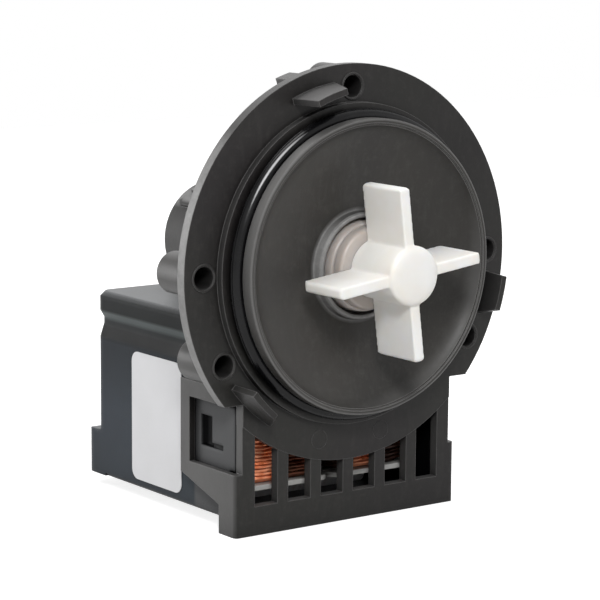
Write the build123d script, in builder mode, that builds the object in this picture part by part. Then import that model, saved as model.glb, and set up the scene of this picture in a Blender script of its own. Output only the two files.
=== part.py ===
from build123d import *
from math import atan2, cos, radians, sin, sqrt
import os

# Drain pump of a washing machine: a shaded synchronous motor with its impeller, in millimetres.
# The rotor axis is the Y axis, the impeller looks toward -Y, and +Z is up.
# The origin is on that axis, in the front face of the mounting flange.

os.makedirs("parts", exist_ok=True)

# General clearances
overrun = 1.0
seat_gap = 0.05
slide_gap = 0.2
free_gap = 0.3

# Mounting flange
flange_margin = 5.0
flange_thickness = 2.6
flange_cut_drop = 28.5
screw_circle_margin = 3.4
screw_angles = (0, 90, 180, 210, 330)
screw_hole_radius = 2.45
screw_hole_depth = 9.5
boss_radius = 4.6
boss_length = 8.6
shoulder_margin = 3.0
shoulder_height = 1.8
web_thickness = 1.8

# Bayonet tabs on the flange: tip angle, how far the foot spreads clockwise and counterclockwise, reach
tab_places = ((107.5, 5.0, 0.4, 9.0), (346.5, 2.2, 0.6, 6.4), (224.0, 0.4, 8.0, 7.8))
tab_offset = 1.3
tab_wall = 1.4
tab_half_angle = 5.6
tab_rib_margin = 0.6
tab_rib_length = 5.4
tab_rib_half_angle = 2.6
ribbed_tab_count = 2

# Front plate with its vents, cheeks and foot
plate_corner_width = 1.8
plate_setback = 0.2
plate_thickness = 2.3
foot_height = 14.0
foot_bottom_drop = 58.0
foot_depth = 6.6
foot_wall = 1.6
foot_corner = 1.0
vent_count = 6
vent_width = 6.1
vent_side_margin = 3.325
vent_sill = 6.5
cheek_thickness = 1.5
cheek_back = 21.6
cheek_top_drop = 25.6
cheek_sill = 2.8
cheek_ramp = 4.7
window_back = 18.1
window_top_drop = 29.3

# Hoods of the housing over the two pole tips
hood_wall = 1.2
hood_top = 11.0
hood_eave_height = 4.0
hood_eave_width = 1.5
hood_chamfer = 2.4
hood_foot_drop = 10.6

# Chamber dish
dish_radius = 32.6
dish_rim_front = 8.0
dish_rim_height = 3.0
dish_lip_width = 1.3
dish_slope_width = 2.4
dish_bowl_front = 6.2
dish_bowl_share = 0.34
dish_plate_front = 2.6
dish_wall = 2.2
dish_rim_chamfer = 0.5
collar_radius = 12.0
collar_wall = 1.3
collar_front = 4.9
well_floor_front = 1.0
well_floor_thickness = 1.6

# Seal ring of the flange
ring_section = 3.0

# Rotor can
can_radius = 13.2
can_wall = 1.7
can_flange_radius = 19.0
can_flange_thickness = 1.6
can_end_wall = 5.7
can_tail_chamfer = 0.4

# Shaft and bearings
shaft_radius = 2.0
shaft_end_chamfer = 0.3
shaft_hole_radius = 2.7
hub_web = 3.0
bush_radius = 4.8
bush_length = 6.5
bush_gap = 0.03

# Rotor
magnet_radius = 10.7
magnet_length = 32.0

# Stator
stack_length = 23.0
leg_width = 6.8
pole_wall = 2.3
shoe_share = 0.85
yoke_height = 3.9
pole_top = 7.0
pole_tip_chamfer = 2.0
pole_gap_half_width = 2.2
yoke_round = 1.2

# Bobbins and windings
bobbin_wall = 0.9
bobbin_flange_thickness = 1.1
bobbin_half_gap = 0.45
bobbin_flange_margin = 0.45
bobbin_corner = 2.6
winding_turns = 8
turn_gap = 0.6
wire_bend_share = 0.65
core_gap = 0.15

# Rear cover
coil_side_gap = 2.85
cover_top_drop = 11.3
cover_raise = 3.0
cover_wall = 1.7
cover_floor = 1.2
cover_corner = 3.4
cover_top_chamfer = 1.2
cover_bottom_chamfer = 0.7
groove_top_drop = 15.8
groove_depth = 0.9
groove_lead_in = 1.6
groove_flat = 1.5
groove_run_out = 3.1
ledge_depth = 4.4
ledge_height = 10.6
ledge_round = 2.4
trough_wall = 1.5
latch_front = 11.6
latch_back = 15.9
latch_top_drop = 33.0
latch_bottom_drop = 40.0
latch_depth = 1.1
latch_slot_front = 7.3
latch_slot_height = 1.2
latch_slot_depth = 0.5

# Connector socket in the back of the cover
socket_width = 24.0
socket_height = 11.0
socket_depth = 11.5
socket_drop = 31.0
socket_wall = 1.4
key_width = 2.4
key_height = 1.2
terminal_width = 6.3
terminal_thickness = 0.8
terminal_pitch = 12.0
terminal_tail = 1.2
terminal_recess = 2.0
terminal_hole_radius = 0.85
terminal_hole_setback = 3.2
terminal_tip_chamfer = 1.2

# Rating label, left bare
label_front = 23.7
label_width = 20.5
label_top_gap = 1.2
label_foot_gap = 1.3
label_thickness = 0.15
label_film = 0.02
label_corner = 2.4

# Impeller and its half-turn coupling
impeller_radius = 19.2
impeller_back_front = 8.5
impeller_front = 21.8
blade_thickness = 2.5
blade_count = 4
blade_start_angle = 7.3
blade_tip_chamfer = 0.5
blade_root = 0.8
hub_radius = 6.5
hub_dome_rise = 1.6
cavity_radius = 5.2
cavity_front = 18.2
step_radii = (10.2, 8.9, 7.7)
step_back_front = 1.6
step_count = 3
dog_hub_radius = 3.3
dog_half_angle = 30
stop_half_angle = 62
pad_angle = 4.5
dog_radial_gap = 0.3


# Stations along the axis, counted backward from the flange face
web_front = flange_thickness
web_back = web_front + web_thickness
plate_back = plate_setback + plate_thickness
bush_seat = well_floor_thickness - well_floor_front + hub_web
dish_hub_end = bush_seat + bush_length
magnet_front = dish_hub_end + slide_gap
magnet_back = magnet_front + magnet_length
rear_seat = magnet_back + slide_gap
rear_seat_end = rear_seat + bush_length + free_gap
can_end = rear_seat_end + can_end_wall
stack_front = magnet_front + (magnet_length - stack_length) / 2
stack_back = stack_front + stack_length

# Sizes that follow from the fits
dish_plug_radius = dish_radius - dish_lip_width
dish_bowl_radius = dish_radius - dish_slope_width
shoulder_radius = dish_radius + shoulder_margin
screw_circle_radius = shoulder_radius + screw_circle_margin
flange_radius = screw_circle_radius + flange_margin
tab_radius = screw_circle_radius + tab_offset
tab_rib_radius = flange_radius - tab_rib_margin
can_inner_radius = can_radius - can_wall
dish_hub_radius = can_inner_radius - seat_gap
pole_radius = can_radius + free_gap
cover_bottom_drop = foot_bottom_drop - cover_raise
yoke_bottom_drop = cover_bottom_drop - cover_floor - seat_gap
yoke_top_drop = yoke_bottom_drop - yoke_height
leg_outer_x = pole_radius + pole_wall
leg_inner_x = leg_outer_x - leg_width
bobbin_bottom_drop = yoke_top_drop - seat_gap
shoe_drop = pole_radius + shoe_share * leg_width
bobbin_top_drop = shoe_drop + slide_gap
leg_centre_x = (leg_inner_x + leg_outer_x) / 2
bobbin_half_x = leg_width / 2 + slide_gap + bobbin_wall
bobbin_half_y = stack_length / 2 + slide_gap + bobbin_wall
stack_centre = (stack_front + stack_back) / 2
winding_depth = leg_centre_x - bobbin_half_gap - bobbin_flange_margin - bobbin_half_x
bobbin_plan_x = bobbin_half_x + winding_depth + bobbin_flange_margin
bobbin_plan_y = bobbin_half_y + winding_depth + bobbin_flange_margin

# The cover goes round the coils, and the front plate with its cheeks and foot round the cover
cover_inside = leg_centre_x + bobbin_plan_x + coil_side_gap
cover_half_width = cover_inside + cover_wall
cover_back = stack_centre + bobbin_plan_y + seat_gap + terminal_tail + socket_wall + socket_depth
foot_half_width = cover_half_width + slide_gap + cheek_thickness
plate_half_width = foot_half_width - plate_corner_width
foot_top_drop = foot_bottom_drop - foot_height
cheek_bottom_drop = foot_top_drop + cheek_sill
cheek_ramp_drop = cheek_bottom_drop + cheek_ramp
vent_bottom_drop = foot_bottom_drop - vent_sill
vent_pitch = (2 * (plate_half_width - vent_side_margin) - vent_width) / (vent_count - 1)
hood_half_width = leg_outer_x + hood_wall


def front_plane(y):
    # A plane square to the rotor axis that looks toward the impeller, with X and Z as its axes
    return Plane.XZ.offset(-y)


def box_between(x_range, y_range, z_range, mode=Mode.ADD):
    # A block given by its limits along X, Y and Z
    centre = tuple((low + high) / 2 for low, high in (x_range, y_range, z_range))
    size = tuple(high - low for low, high in (x_range, y_range, z_range))
    with Locations(centre):
        Box(*size, mode=mode)


def on_screw_circle(angle):
    return screw_circle_radius * cos(radians(angle)), screw_circle_radius * sin(radians(angle))


def sector(inner_radius, outer_radius, start_angle, sweep):
    # A ring sector by its angles in degrees
    with BuildSketch() as shape:
        with BuildLine():
            CenterArc((0, 0), outer_radius, start_angle, sweep)
            CenterArc((0, 0), inner_radius, start_angle, sweep)
            for angle in (start_angle, start_angle + sweep):
                ray = Vector(cos(radians(angle)), sin(radians(angle)))
                Line(ray * inner_radius, ray * outer_radius)
        make_face()
    return shape.sketch_local


# Bayonet tabs
def bayonet_tab(angle, spread_low, spread_high, reach):
    # A curved wall on the flange; its foot is wider than its tip by the two spreads
    turn = radians(angle)
    inner_radius = tab_radius - tab_wall
    radial = Vector(cos(turn), 0, sin(turn))
    tangent = Vector(-sin(turn), 0, cos(turn))
    mould = Plane(origin=radial * inner_radius, x_dir=tangent, z_dir=radial)
    reach_sign = 1 if mould.y_dir.Y < 0 else -1
    tip = tab_radius * radians(tab_half_angle)
    low = tip + tab_radius * radians(spread_low)
    high = tip + tab_radius * radians(spread_high)
    with BuildPart() as tab:
        with BuildSketch(front_plane(flange_thickness / 2)):
            Circle(tab_radius)
            Circle(inner_radius, mode=Mode.SUBTRACT)
        extrude(amount=reach + flange_thickness / 2)
        with BuildSketch(mould):
            Polygon(
                (-low, -reach_sign * flange_thickness),
                (-low, 0),
                (-tip, reach_sign * reach),
                (tip, reach_sign * reach),
                (high, 0),
                (high, -reach_sign * flange_thickness),
                align=None,
            )
        extrude(amount=2 * tab_wall, both=True, mode=Mode.INTERSECT)
    return tab.part


tabs = [bayonet_tab(*place) for place in tab_places]


# Front plate, cheeks and foot as one bent wall, cut to the outline of the cheeks
with BuildPart() as side_frame_builder:
    with BuildSketch(Plane.XY.offset(-foot_bottom_drop)):
        with Locations((0, (plate_setback + cheek_back) / 2)):
            frame_plan = Rectangle(2 * foot_half_width, cheek_back - plate_setback)
        fillet(frame_plan.vertices().group_by(Axis.Y)[0], foot_corner)
        with Locations((0, (plate_back + cheek_back + overrun) / 2)):
            Rectangle(
                2 * (foot_half_width - cheek_thickness), cheek_back + overrun - plate_back, mode=Mode.SUBTRACT
            )
    extrude(amount=foot_bottom_drop - cheek_top_drop)
    with BuildSketch(Plane.YZ):
        Polygon(
            (web_front, -cheek_top_drop),
            (cheek_back, -cheek_top_drop),
            (cheek_back, -cheek_bottom_drop),
            (foot_depth, -cheek_ramp_drop),
            (foot_depth, -foot_bottom_drop),
            (plate_setback, -foot_bottom_drop),
            (plate_setback, -flange_cut_drop),
            (web_front, -flange_cut_drop),
            align=None,
        )
    extrude(amount=2 * foot_half_width, both=True, mode=Mode.INTERSECT)
    # The windows in the cheeks run out through the front corners
    for side in (-1, 1):
        side_span = sorted((side * plate_half_width, side * (foot_half_width + overrun)))
        box_between(side_span, (0, window_back), (-foot_top_drop, -window_top_drop), mode=Mode.SUBTRACT)
        box_between(side_span, (0, web_front), (-foot_top_drop, -cheek_top_drop), mode=Mode.SUBTRACT)
side_frame = side_frame_builder.part


# Pump housing: flange, front plate with vents, cheeks, foot, screw bosses and pole hoods
with BuildPart() as pump_housing:
    with BuildSketch(front_plane(flange_thickness)):
        Circle(flange_radius)
        with Locations((0, flange_radius - flange_cut_drop)):
            Rectangle(2 * flange_radius, 2 * flange_radius, mode=Mode.INTERSECT)
        with Locations((0, -flange_cut_drop)):
            Rectangle(2 * plate_half_width, 2 * (flange_radius - flange_cut_drop))
        Circle(flange_radius, mode=Mode.INTERSECT)
    extrude(amount=flange_thickness)
    # Raised shoulder behind the seal
    with BuildSketch(front_plane(0)):
        Circle(shoulder_radius)
    extrude(amount=shoulder_height)
    # Front plate, cheeks and foot
    add(side_frame)
    # Sole of the foot
    box_between(
        (foot_corner - foot_half_width, foot_half_width - foot_corner),
        (plate_setback, foot_depth),
        (-foot_bottom_drop, foot_wall - foot_bottom_drop),
    )
    # Web that closes the front recess from behind, with the hole for the rotor can
    with BuildSketch(front_plane(web_back)):
        Circle(shoulder_radius)
        Circle(can_radius + slide_gap, mode=Mode.SUBTRACT)
    extrude(amount=web_thickness)
    # Hoods over the pole tips, with an eave along the top
    with BuildSketch(front_plane(stack_back)):
        for side in (-1, 1):
            with BuildLine():
                Polyline(
                    (0, -hood_foot_drop),
                    (side * hood_half_width, -hood_foot_drop),
                    (side * hood_half_width, hood_top - hood_eave_height),
                    (side * (hood_half_width + hood_eave_width), hood_top - hood_eave_height),
                    (side * (hood_half_width + hood_eave_width), hood_top - hood_chamfer),
                    (side * (hood_half_width + hood_eave_width - hood_chamfer), hood_top),
                    (0, hood_top),
                    close=True,
                )
            make_face()
        Circle(can_radius + slide_gap, mode=Mode.SUBTRACT)
    extrude(amount=stack_length + stack_front - web_front)
    with BuildSketch(front_plane(stack_back)):
        for side in (-1, 1):
            with Locations((side * (hood_half_width - hood_wall) / 2, (pole_top + slide_gap - hood_foot_drop) / 2)):
                Rectangle(hood_half_width - hood_wall, pole_top + slide_gap + hood_foot_drop)
    extrude(amount=stack_length + slide_gap, mode=Mode.SUBTRACT)
    # Screw bosses with blind holes
    for angle in screw_angles:
        with BuildSketch(front_plane(flange_thickness + boss_length)):
            with Locations(on_screw_circle(angle)):
                Circle(boss_radius)
        extrude(amount=boss_length + flange_thickness / 2)
    # Tabs, and the short ribs behind the flange that back those clear of the cover
    for tab in tabs:
        add(tab)
    for angle, spread_low, spread_high, reach in tab_places[:ribbed_tab_count]:
        with BuildSketch(front_plane(web_front + tab_rib_length)):
            add(sector(screw_circle_radius, tab_rib_radius, angle - tab_rib_half_angle, 2 * tab_rib_half_angle))
        extrude(amount=tab_rib_length + flange_thickness / 2)
    # Front recess for the chamber dish
    with BuildSketch(front_plane(web_front)):
        Circle(dish_plug_radius + seat_gap)
    extrude(amount=web_front + shoulder_height + overrun, mode=Mode.SUBTRACT)
    # Screw holes
    for angle in screw_angles:
        with BuildSketch(front_plane(screw_hole_depth)):
            with Locations(on_screw_circle(angle)):
                Circle(screw_hole_radius)
        extrude(amount=screw_hole_depth + overrun, mode=Mode.SUBTRACT)
    # Vents: upright slots that end under the flange's round edge
    with BuildSketch(front_plane(plate_back + overrun)):
        with Locations((0, -(flange_cut_drop + vent_bottom_drop) / 2)):
            with GridLocations(vent_pitch, 0, vent_count, 1):
                Rectangle(vent_width, vent_bottom_drop - flange_cut_drop)
        Circle(flange_radius, mode=Mode.SUBTRACT)
    extrude(amount=plate_thickness + 2 * overrun, mode=Mode.SUBTRACT)
pump_housing.part.label = "pump_housing"
export_step(pump_housing.part, "parts/pump_housing.step")
print("pump_housing", len(pump_housing.solids()), round(pump_housing.part.volume))


# Chamber dish: rim, bowl, collar round the impeller's foot, and the plug that fills the flange recess
dish_back = well_floor_thickness - well_floor_front
bowl_turn_radius = (collar_radius + dish_bowl_radius) / 2
bowl_turn_front = dish_plate_front + dish_bowl_share * (dish_bowl_front - dish_plate_front)
with BuildPart() as chamber_dish:
    with BuildSketch(Plane.XY):
        with BuildLine():
            Polyline(
                (shaft_hole_radius, -well_floor_front),
                (collar_radius - collar_wall, -well_floor_front),
                (collar_radius - collar_wall, -collar_front),
                (collar_radius, -collar_front),
                (collar_radius, -dish_plate_front),
                (bowl_turn_radius, -bowl_turn_front),
                (dish_bowl_radius, -dish_bowl_front),
                (dish_radius - dish_lip_width, -dish_rim_front),
                (dish_radius, -dish_rim_front),
                (dish_radius, dish_rim_height - dish_rim_front),
                (dish_plug_radius, dish_rim_height - dish_rim_front),
                (dish_plug_radius, web_front - seat_gap),
                (dish_plug_radius - dish_wall, web_front - seat_gap),
                (dish_plug_radius - dish_wall, dish_back),
                (dish_hub_radius, dish_back),
                (dish_hub_radius, dish_hub_end),
                (bush_radius + seat_gap, dish_hub_end),
                (bush_radius + seat_gap, bush_seat),
                (shaft_hole_radius, bush_seat),
                close=True,
            )
        make_face()
    revolve(axis=Axis.Y)
    rim_edge = chamber_dish.edges().filter_by(GeomType.CIRCLE).group_by(Axis.Y)[0].sort_by(SortBy.RADIUS)[-1]
    chamfer(rim_edge, dish_rim_chamfer)
chamber_dish.part.label = "chamber_dish"
export_step(chamber_dish.part, "parts/chamber_dish.step")


# Seal ring in the groove between the dish's rim and the flange's shoulder
ring_inside = dish_plug_radius + seat_gap
ring_outside = ring_inside + ring_section
ring_front = dish_rim_front - dish_rim_height - seat_gap
ring_back = shoulder_height + seat_gap
with BuildPart() as flange_o_ring:
    with BuildSketch(Plane.XY):
        with BuildLine():
            Polyline(
                (ring_inside, -ring_front),
                (ring_outside, -ring_front),
                (ring_outside, -ring_back),
                (ring_inside, -ring_back),
                close=True,
            )
        make_face()
    revolve(axis=Axis.Y)
flange_o_ring.part.label = "flange_o_ring"
export_step(flange_o_ring.part, "parts/flange_o_ring.step")


# Rotor can: the closed tube that keeps the rotor wet and the windings dry
with BuildPart() as rotor_can:
    with BuildSketch(Plane.XY):
        with BuildLine():
            Polyline(
                (can_inner_radius, web_front - can_flange_thickness),
                (can_flange_radius, web_front - can_flange_thickness),
                (can_flange_radius, web_front),
                (can_radius, web_front),
                (can_radius, can_end),
                (0, can_end),
                (0, rear_seat_end),
                (bush_radius + seat_gap, rear_seat_end),
                (bush_radius + seat_gap, rear_seat),
                (can_inner_radius, rear_seat),
                close=True,
            )
        make_face()
    revolve(axis=Axis.Y)
    tail_edge = rotor_can.edges().filter_by(GeomType.CIRCLE).group_by(Axis.Y)[-1].sort_by(SortBy.RADIUS)[-1]
    chamfer(tail_edge, can_tail_chamfer)
rotor_can.part.label = "rotor_can"
export_step(rotor_can.part, "parts/rotor_can.step")


def sleeve(outer_radius, bore_radius, front, back):
    # A plain tube on the rotor axis
    with BuildPart() as tube:
        with BuildSketch(front_plane(back)):
            Circle(outer_radius)
            Circle(bore_radius, mode=Mode.SUBTRACT)
        extrude(amount=back - front)
    return tube


# Bearings: a sintered bush at each end of the rotor
for name, seat in (("front", bush_seat), ("rear", rear_seat)):
    bush = sleeve(bush_radius, shaft_radius + bush_gap, seat, seat + bush_length)
    bush.part.label = name + "_bearing"
    export_step(bush.part, f"parts/{name}_bearing.step")


# Rotor: shaft and magnet
dog_front = cavity_front - slide_gap
dog_back = impeller_back_front + slide_gap
shaft_back = rear_seat_end - slide_gap
with BuildPart() as rotor_shaft:
    with BuildSketch(front_plane(shaft_back)):
        Circle(shaft_radius)
    extrude(amount=shaft_back + dog_front)
    chamfer(rotor_shaft.edges().filter_by(GeomType.CIRCLE), shaft_end_chamfer)
rotor_shaft.part.label = "rotor_shaft"
export_step(rotor_shaft.part, "parts/rotor_shaft.step")

rotor_magnet = sleeve(magnet_radius, shaft_radius, magnet_front, magnet_back)
rotor_magnet.part.label = "rotor_magnet"
export_step(rotor_magnet.part, "parts/rotor_magnet.step")


# Half-turn coupling: the dog on the shaft, the stop in the impeller's hub, and rubber pads on the stop
stop_centre = blade_start_angle
dog_centre = stop_centre + 180
stop_inner_radius = dog_hub_radius + dog_radial_gap
dog_radius = cavity_radius - dog_radial_gap
with BuildPart() as drive_dog:
    with BuildSketch(front_plane(-dog_back)):
        Circle(dog_hub_radius)
        add(sector(dog_hub_radius / 2, dog_radius, dog_centre - dog_half_angle, 2 * dog_half_angle))
        Circle(shaft_radius, mode=Mode.SUBTRACT)
    extrude(amount=dog_front - dog_back)
drive_dog.part.label = "drive_dog"
export_step(drive_dog.part, "parts/drive_dog.step")

with BuildPart() as impeller:
    # Hub with a raised nose
    with BuildSketch(Plane.XY):
        with BuildLine():
            Polyline(
                (0, -impeller_front - hub_dome_rise),
                (0, -impeller_back_front),
                (hub_radius, -impeller_back_front),
                (hub_radius, -impeller_front),
                (cavity_radius, -impeller_front - hub_dome_rise),
                close=True,
            )
        make_face()
    revolve(axis=Axis.Y)
    # Blades with bevelled tips
    blade_middle = (impeller_radius + hub_radius - blade_root) / 2
    with BuildSketch(front_plane(-impeller_back_front)):
        with PolarLocations(blade_middle, blade_count, start_angle=blade_start_angle):
            blades = Rectangle(impeller_radius - hub_radius + blade_root, blade_thickness)
        tip_corners = [corner for corner in blades.vertices() if Vector(corner).length > impeller_radius]
        chamfer(tip_corners, blade_tip_chamfer)
    extrude(amount=impeller_front - impeller_back_front)
    # Cavity of the coupling, with the stop left standing in it
    with BuildSketch(front_plane(-impeller_back_front)):
        Circle(cavity_radius)
        add(
            sector(stop_inner_radius, cavity_radius + overrun, stop_centre - stop_half_angle, 2 * stop_half_angle),
            mode=Mode.SUBTRACT,
        )
    extrude(amount=cavity_front - impeller_back_front, mode=Mode.SUBTRACT)
impeller.part.label = "impeller"
export_step(impeller.part, "parts/impeller.step")
print("impeller", round(impeller.part.volume))


# Rubber pads on the two faces of the stop
with BuildPart() as stop_pads:
    with BuildSketch(front_plane(-dog_back)):
        for start in (stop_centre - stop_half_angle - pad_angle, stop_centre + stop_half_angle):
            add(sector(stop_inner_radius + seat_gap, cavity_radius - seat_gap, start, pad_angle))
    extrude(amount=dog_front - dog_back)
stop_pads.part.label = "stop_pads"
export_step(stop_pads.part, "parts/stop_pads.step")


# Stepped foot of the impeller, which closes the coupling and turns on the shaft
with BuildPart() as impeller_foot:
    step_length = (impeller_back_front - step_back_front) / step_count
    for index, radius in enumerate(step_radii):
        with BuildSketch(front_plane(-step_back_front - index * step_length)):
            Circle(radius)
        extrude(amount=step_length)
    with BuildSketch(front_plane(0)):
        Circle(shaft_radius + seat_gap)
    extrude(amount=cavity_front, mode=Mode.SUBTRACT)
impeller_foot.part.label = "impeller_foot"
export_step(impeller_foot.part, "parts/impeller_foot.step")


# Stator: a yoke and two poles of stacked laminations
with BuildPart() as stator_yoke:
    with BuildSketch(front_plane(stack_back)):
        with Locations((0, -(yoke_top_drop + yoke_bottom_drop) / 2)):
            yoke_plan = Rectangle(2 * leg_outer_x, yoke_height)
        fillet(yoke_plan.vertices().group_by(Axis.Y)[0], yoke_round)
    extrude(amount=stack_length)
stator_yoke.part.label = "stator_yoke"
export_step(stator_yoke.part, "parts/stator_yoke.step")


def stator_pole(side):
    with BuildPart() as pole:
        with BuildSketch(front_plane(stack_back)):
            with BuildLine():
                Polyline(
                    (side * leg_inner_x, -yoke_top_drop),
                    (side * leg_outer_x, -yoke_top_drop),
                    (side * leg_outer_x, pole_top - pole_tip_chamfer),
                    (side * (leg_outer_x - pole_tip_chamfer), pole_top),
                    (side * pole_gap_half_width, pole_top),
                    (side * pole_gap_half_width, -shoe_drop),
                    (side * leg_inner_x, -shoe_drop),
                    close=True,
                )
            make_face()
            Circle(pole_radius, mode=Mode.SUBTRACT)
        extrude(amount=stack_length)
    return pole


# Height of the windings between the bobbin flanges, which sets how thick their wire can be
winding_bottom = bobbin_flange_thickness - bobbin_bottom_drop + seat_gap
winding_top = -bobbin_top_drop - bobbin_flange_thickness - seat_gap
wire_width = (winding_top - winding_bottom - winding_turns * turn_gap) / (winding_turns + 1)
wire_bend = wire_bend_share * wire_width


# Bobbin: a tube round the leg with a flange at each end
def bobbin(side):
    with BuildPart() as frame:
        for start, height, half_x, half_y, corner in (
            (-bobbin_bottom_drop, bobbin_flange_thickness, bobbin_plan_x, bobbin_plan_y, bobbin_corner),
            (winding_top + seat_gap, bobbin_flange_thickness, bobbin_plan_x, bobbin_plan_y, bobbin_corner),
            (-bobbin_bottom_drop, bobbin_bottom_drop - bobbin_top_drop, bobbin_half_x, bobbin_half_y, 0),
        ):
            with BuildSketch(Plane.XY.offset(start)):
                with Locations((side * leg_centre_x, stack_centre)):
                    outline = Rectangle(2 * half_x, 2 * half_y)
                if corner:
                    fillet(outline.vertices(), corner)
            extrude(amount=height)
        with BuildSketch(Plane.XY.offset(-bobbin_bottom_drop)):
            with Locations((side * leg_centre_x, stack_centre)):
                Rectangle(2 * (bobbin_half_x - bobbin_wall), 2 * (bobbin_half_y - bobbin_wall))
        extrude(amount=bobbin_bottom_drop, mode=Mode.SUBTRACT)
    return frame


# Winding: the outer layer of turns over a plain core
winding_pitch = wire_width + turn_gap
first_turn = winding_bottom + wire_width / 2
wire_half_x = bobbin_half_x + winding_depth - wire_width / 2
wire_half_y = bobbin_half_y + winding_depth - wire_width / 2


def winding_core(side):
    half_x = wire_half_x - wire_width / 2 - core_gap
    half_y = wire_half_y - wire_width / 2 - core_gap
    with BuildPart() as core:
        with BuildSketch(Plane.XY.offset(winding_bottom)):
            with Locations((side * leg_centre_x, stack_centre)):
                Rectangle(2 * half_x, 2 * half_y)
                Rectangle(2 * (bobbin_half_x + seat_gap), 2 * (bobbin_half_y + seat_gap), mode=Mode.SUBTRACT)
        extrude(amount=winding_top - winding_bottom)
    return core


def wire_turn(z):
    # One turn round the left bobbin: flat on three sides, then it climbs by one pitch along its rear run
    left, right = -leg_centre_x - wire_half_x, wire_half_x - leg_centre_x
    front, back = stack_centre - wire_half_y, stack_centre + wire_half_y
    bend = wire_bend
    corner = bend * (1 - sqrt(2) / 2)
    near, far = left + bend, right - bend
    slope = 2 * atan2(winding_pitch, far - near)
    climb_radius = (far - near) / 2 / sin(slope)
    climb_x = climb_radius * sin(slope / 2)
    climb_z = climb_radius * (1 - cos(slope / 2))
    middle = (-leg_centre_x, back, z + winding_pitch / 2)
    return [
        ThreePointArc((near, back, z), (left + corner, back - corner, z), (left, back - bend, z)),
        Line((left, back - bend, z), (left, front + bend, z)),
        ThreePointArc((left, front + bend, z), (left + corner, front + corner, z), (near, front, z)),
        Line((near, front, z), (far, front, z)),
        ThreePointArc((far, front, z), (right - corner, front + corner, z), (right, front + bend, z)),
        Line((right, front + bend, z), (right, back - bend, z)),
        ThreePointArc((right, back - bend, z), (right - corner, back - corner, z), (far, back, z)),
        ThreePointArc((far, back, z), (far - climb_x, back, z + climb_z), middle),
        ThreePointArc(middle, (near + climb_x, back, z + winding_pitch - climb_z), (near, back, z + winding_pitch)),
    ]


samples_per_edge = 5
with BuildPart() as left_winding:
    with BuildLine() as wire_path:
        wire_edges = [edge for turn in range(winding_turns) for edge in wire_turn(first_turn + turn * winding_pitch)]
    wire = wire_path.wire()
    with BuildSketch(Plane(origin=wire @ 0, z_dir=wire % 0)):
        Rectangle(wire_width, wire_width)
    sweep(path=wire)
samples = [edge @ (step / samples_per_edge) for edge in wire_edges for step in range(samples_per_edge)]
turn_samples = len(samples) // winding_turns
nearest = min(
    (one - other).length
    for index, one in enumerate(samples)
    for other in samples[index + turn_samples // 2 : index + 2 * turn_samples]
)
print("winding: least gap between turns", round(nearest - wire_width, 3))
print("winding: volume", round(left_winding.part.volume, 1), "by length", round(wire_width**2 * wire.length, 1))
with BuildPart() as right_winding:
    add(left_winding.part)
    mirror(about=Plane.YZ, mode=Mode.REPLACE)
left_winding.part.label = "left_winding"
export_step(left_winding.part, "parts/left_winding.step")
right_winding.part.label = "right_winding"
export_step(right_winding.part, "parts/right_winding.step")


for name, side in (("left", -1), ("right", 1)):
    pole = stator_pole(side)
    pole.part.label = name + "_pole"
    export_step(pole.part, f"parts/{name}_pole.step")
    frame = bobbin(side)
    frame.part.label = name + "_bobbin"
    export_step(frame.part, f"parts/{name}_bobbin.step")
    core = winding_core(side)
    core.part.label = name + "_winding_core"
    export_step(core.part, f"parts/{name}_winding_core.step")


# Rear cover: a box open toward the front, with a groove round it, a trough for the can and a socket
cover_front = web_back + free_gap
tongue_front = plate_back + free_gap
tongue_top_drop = window_top_drop + free_gap
tongue_bottom_drop = foot_top_drop - free_gap
groove_high_drop = groove_top_drop + groove_lead_in
groove_low_drop = groove_high_drop + groove_flat
groove_bottom_drop = groove_low_drop + groove_run_out
label_top_drop = groove_bottom_drop + label_top_gap
label_height = cover_bottom_drop - cover_bottom_chamfer - label_foot_gap - label_top_drop
opening_half_width = hood_half_width + free_gap
opening_back = stack_back + trough_wall
trough_radius = can_radius + free_gap
trough_back = can_end + free_gap
socket_floor = cover_back - socket_depth


def cover_plan(inset):
    # The cover's plan from above, drawn in by the inset on its three closed sides
    with BuildSketch() as plan:
        with Locations((0, (cover_front + cover_back - inset) / 2)):
            outline = Rectangle(2 * (cover_half_width - inset), cover_back - cover_front - inset)
        fillet(outline.vertices().group_by(Axis.Y)[-1], cover_corner - inset)
    return plan.sketch_local


def cover_layer(low_drop, high_drop, low_inset, high_inset):
    # A slice of the cover between two heights, sloping from one inset to the other
    with BuildPart() as layer:
        for drop, inset in ((low_drop, low_inset), (high_drop, high_inset)):
            with BuildSketch(Plane.XY.offset(-drop)):
                add(cover_plan(inset))
        loft(ruled=True)
    return layer.part


layers = [
    cover_layer(cover_bottom_drop, cover_bottom_drop - cover_bottom_chamfer, cover_bottom_chamfer, 0),
    cover_layer(cover_bottom_drop - cover_bottom_chamfer, groove_bottom_drop, 0, 0),
    cover_layer(groove_bottom_drop, groove_low_drop, 0, groove_depth),
    cover_layer(groove_low_drop, groove_high_drop, groove_depth, groove_depth),
    cover_layer(groove_high_drop, groove_top_drop, groove_depth, 0),
    cover_layer(groove_top_drop, cover_top_drop + cover_top_chamfer, 0, 0),
    cover_layer(cover_top_drop + cover_top_chamfer, cover_top_drop, 0, cover_top_chamfer),
]

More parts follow.
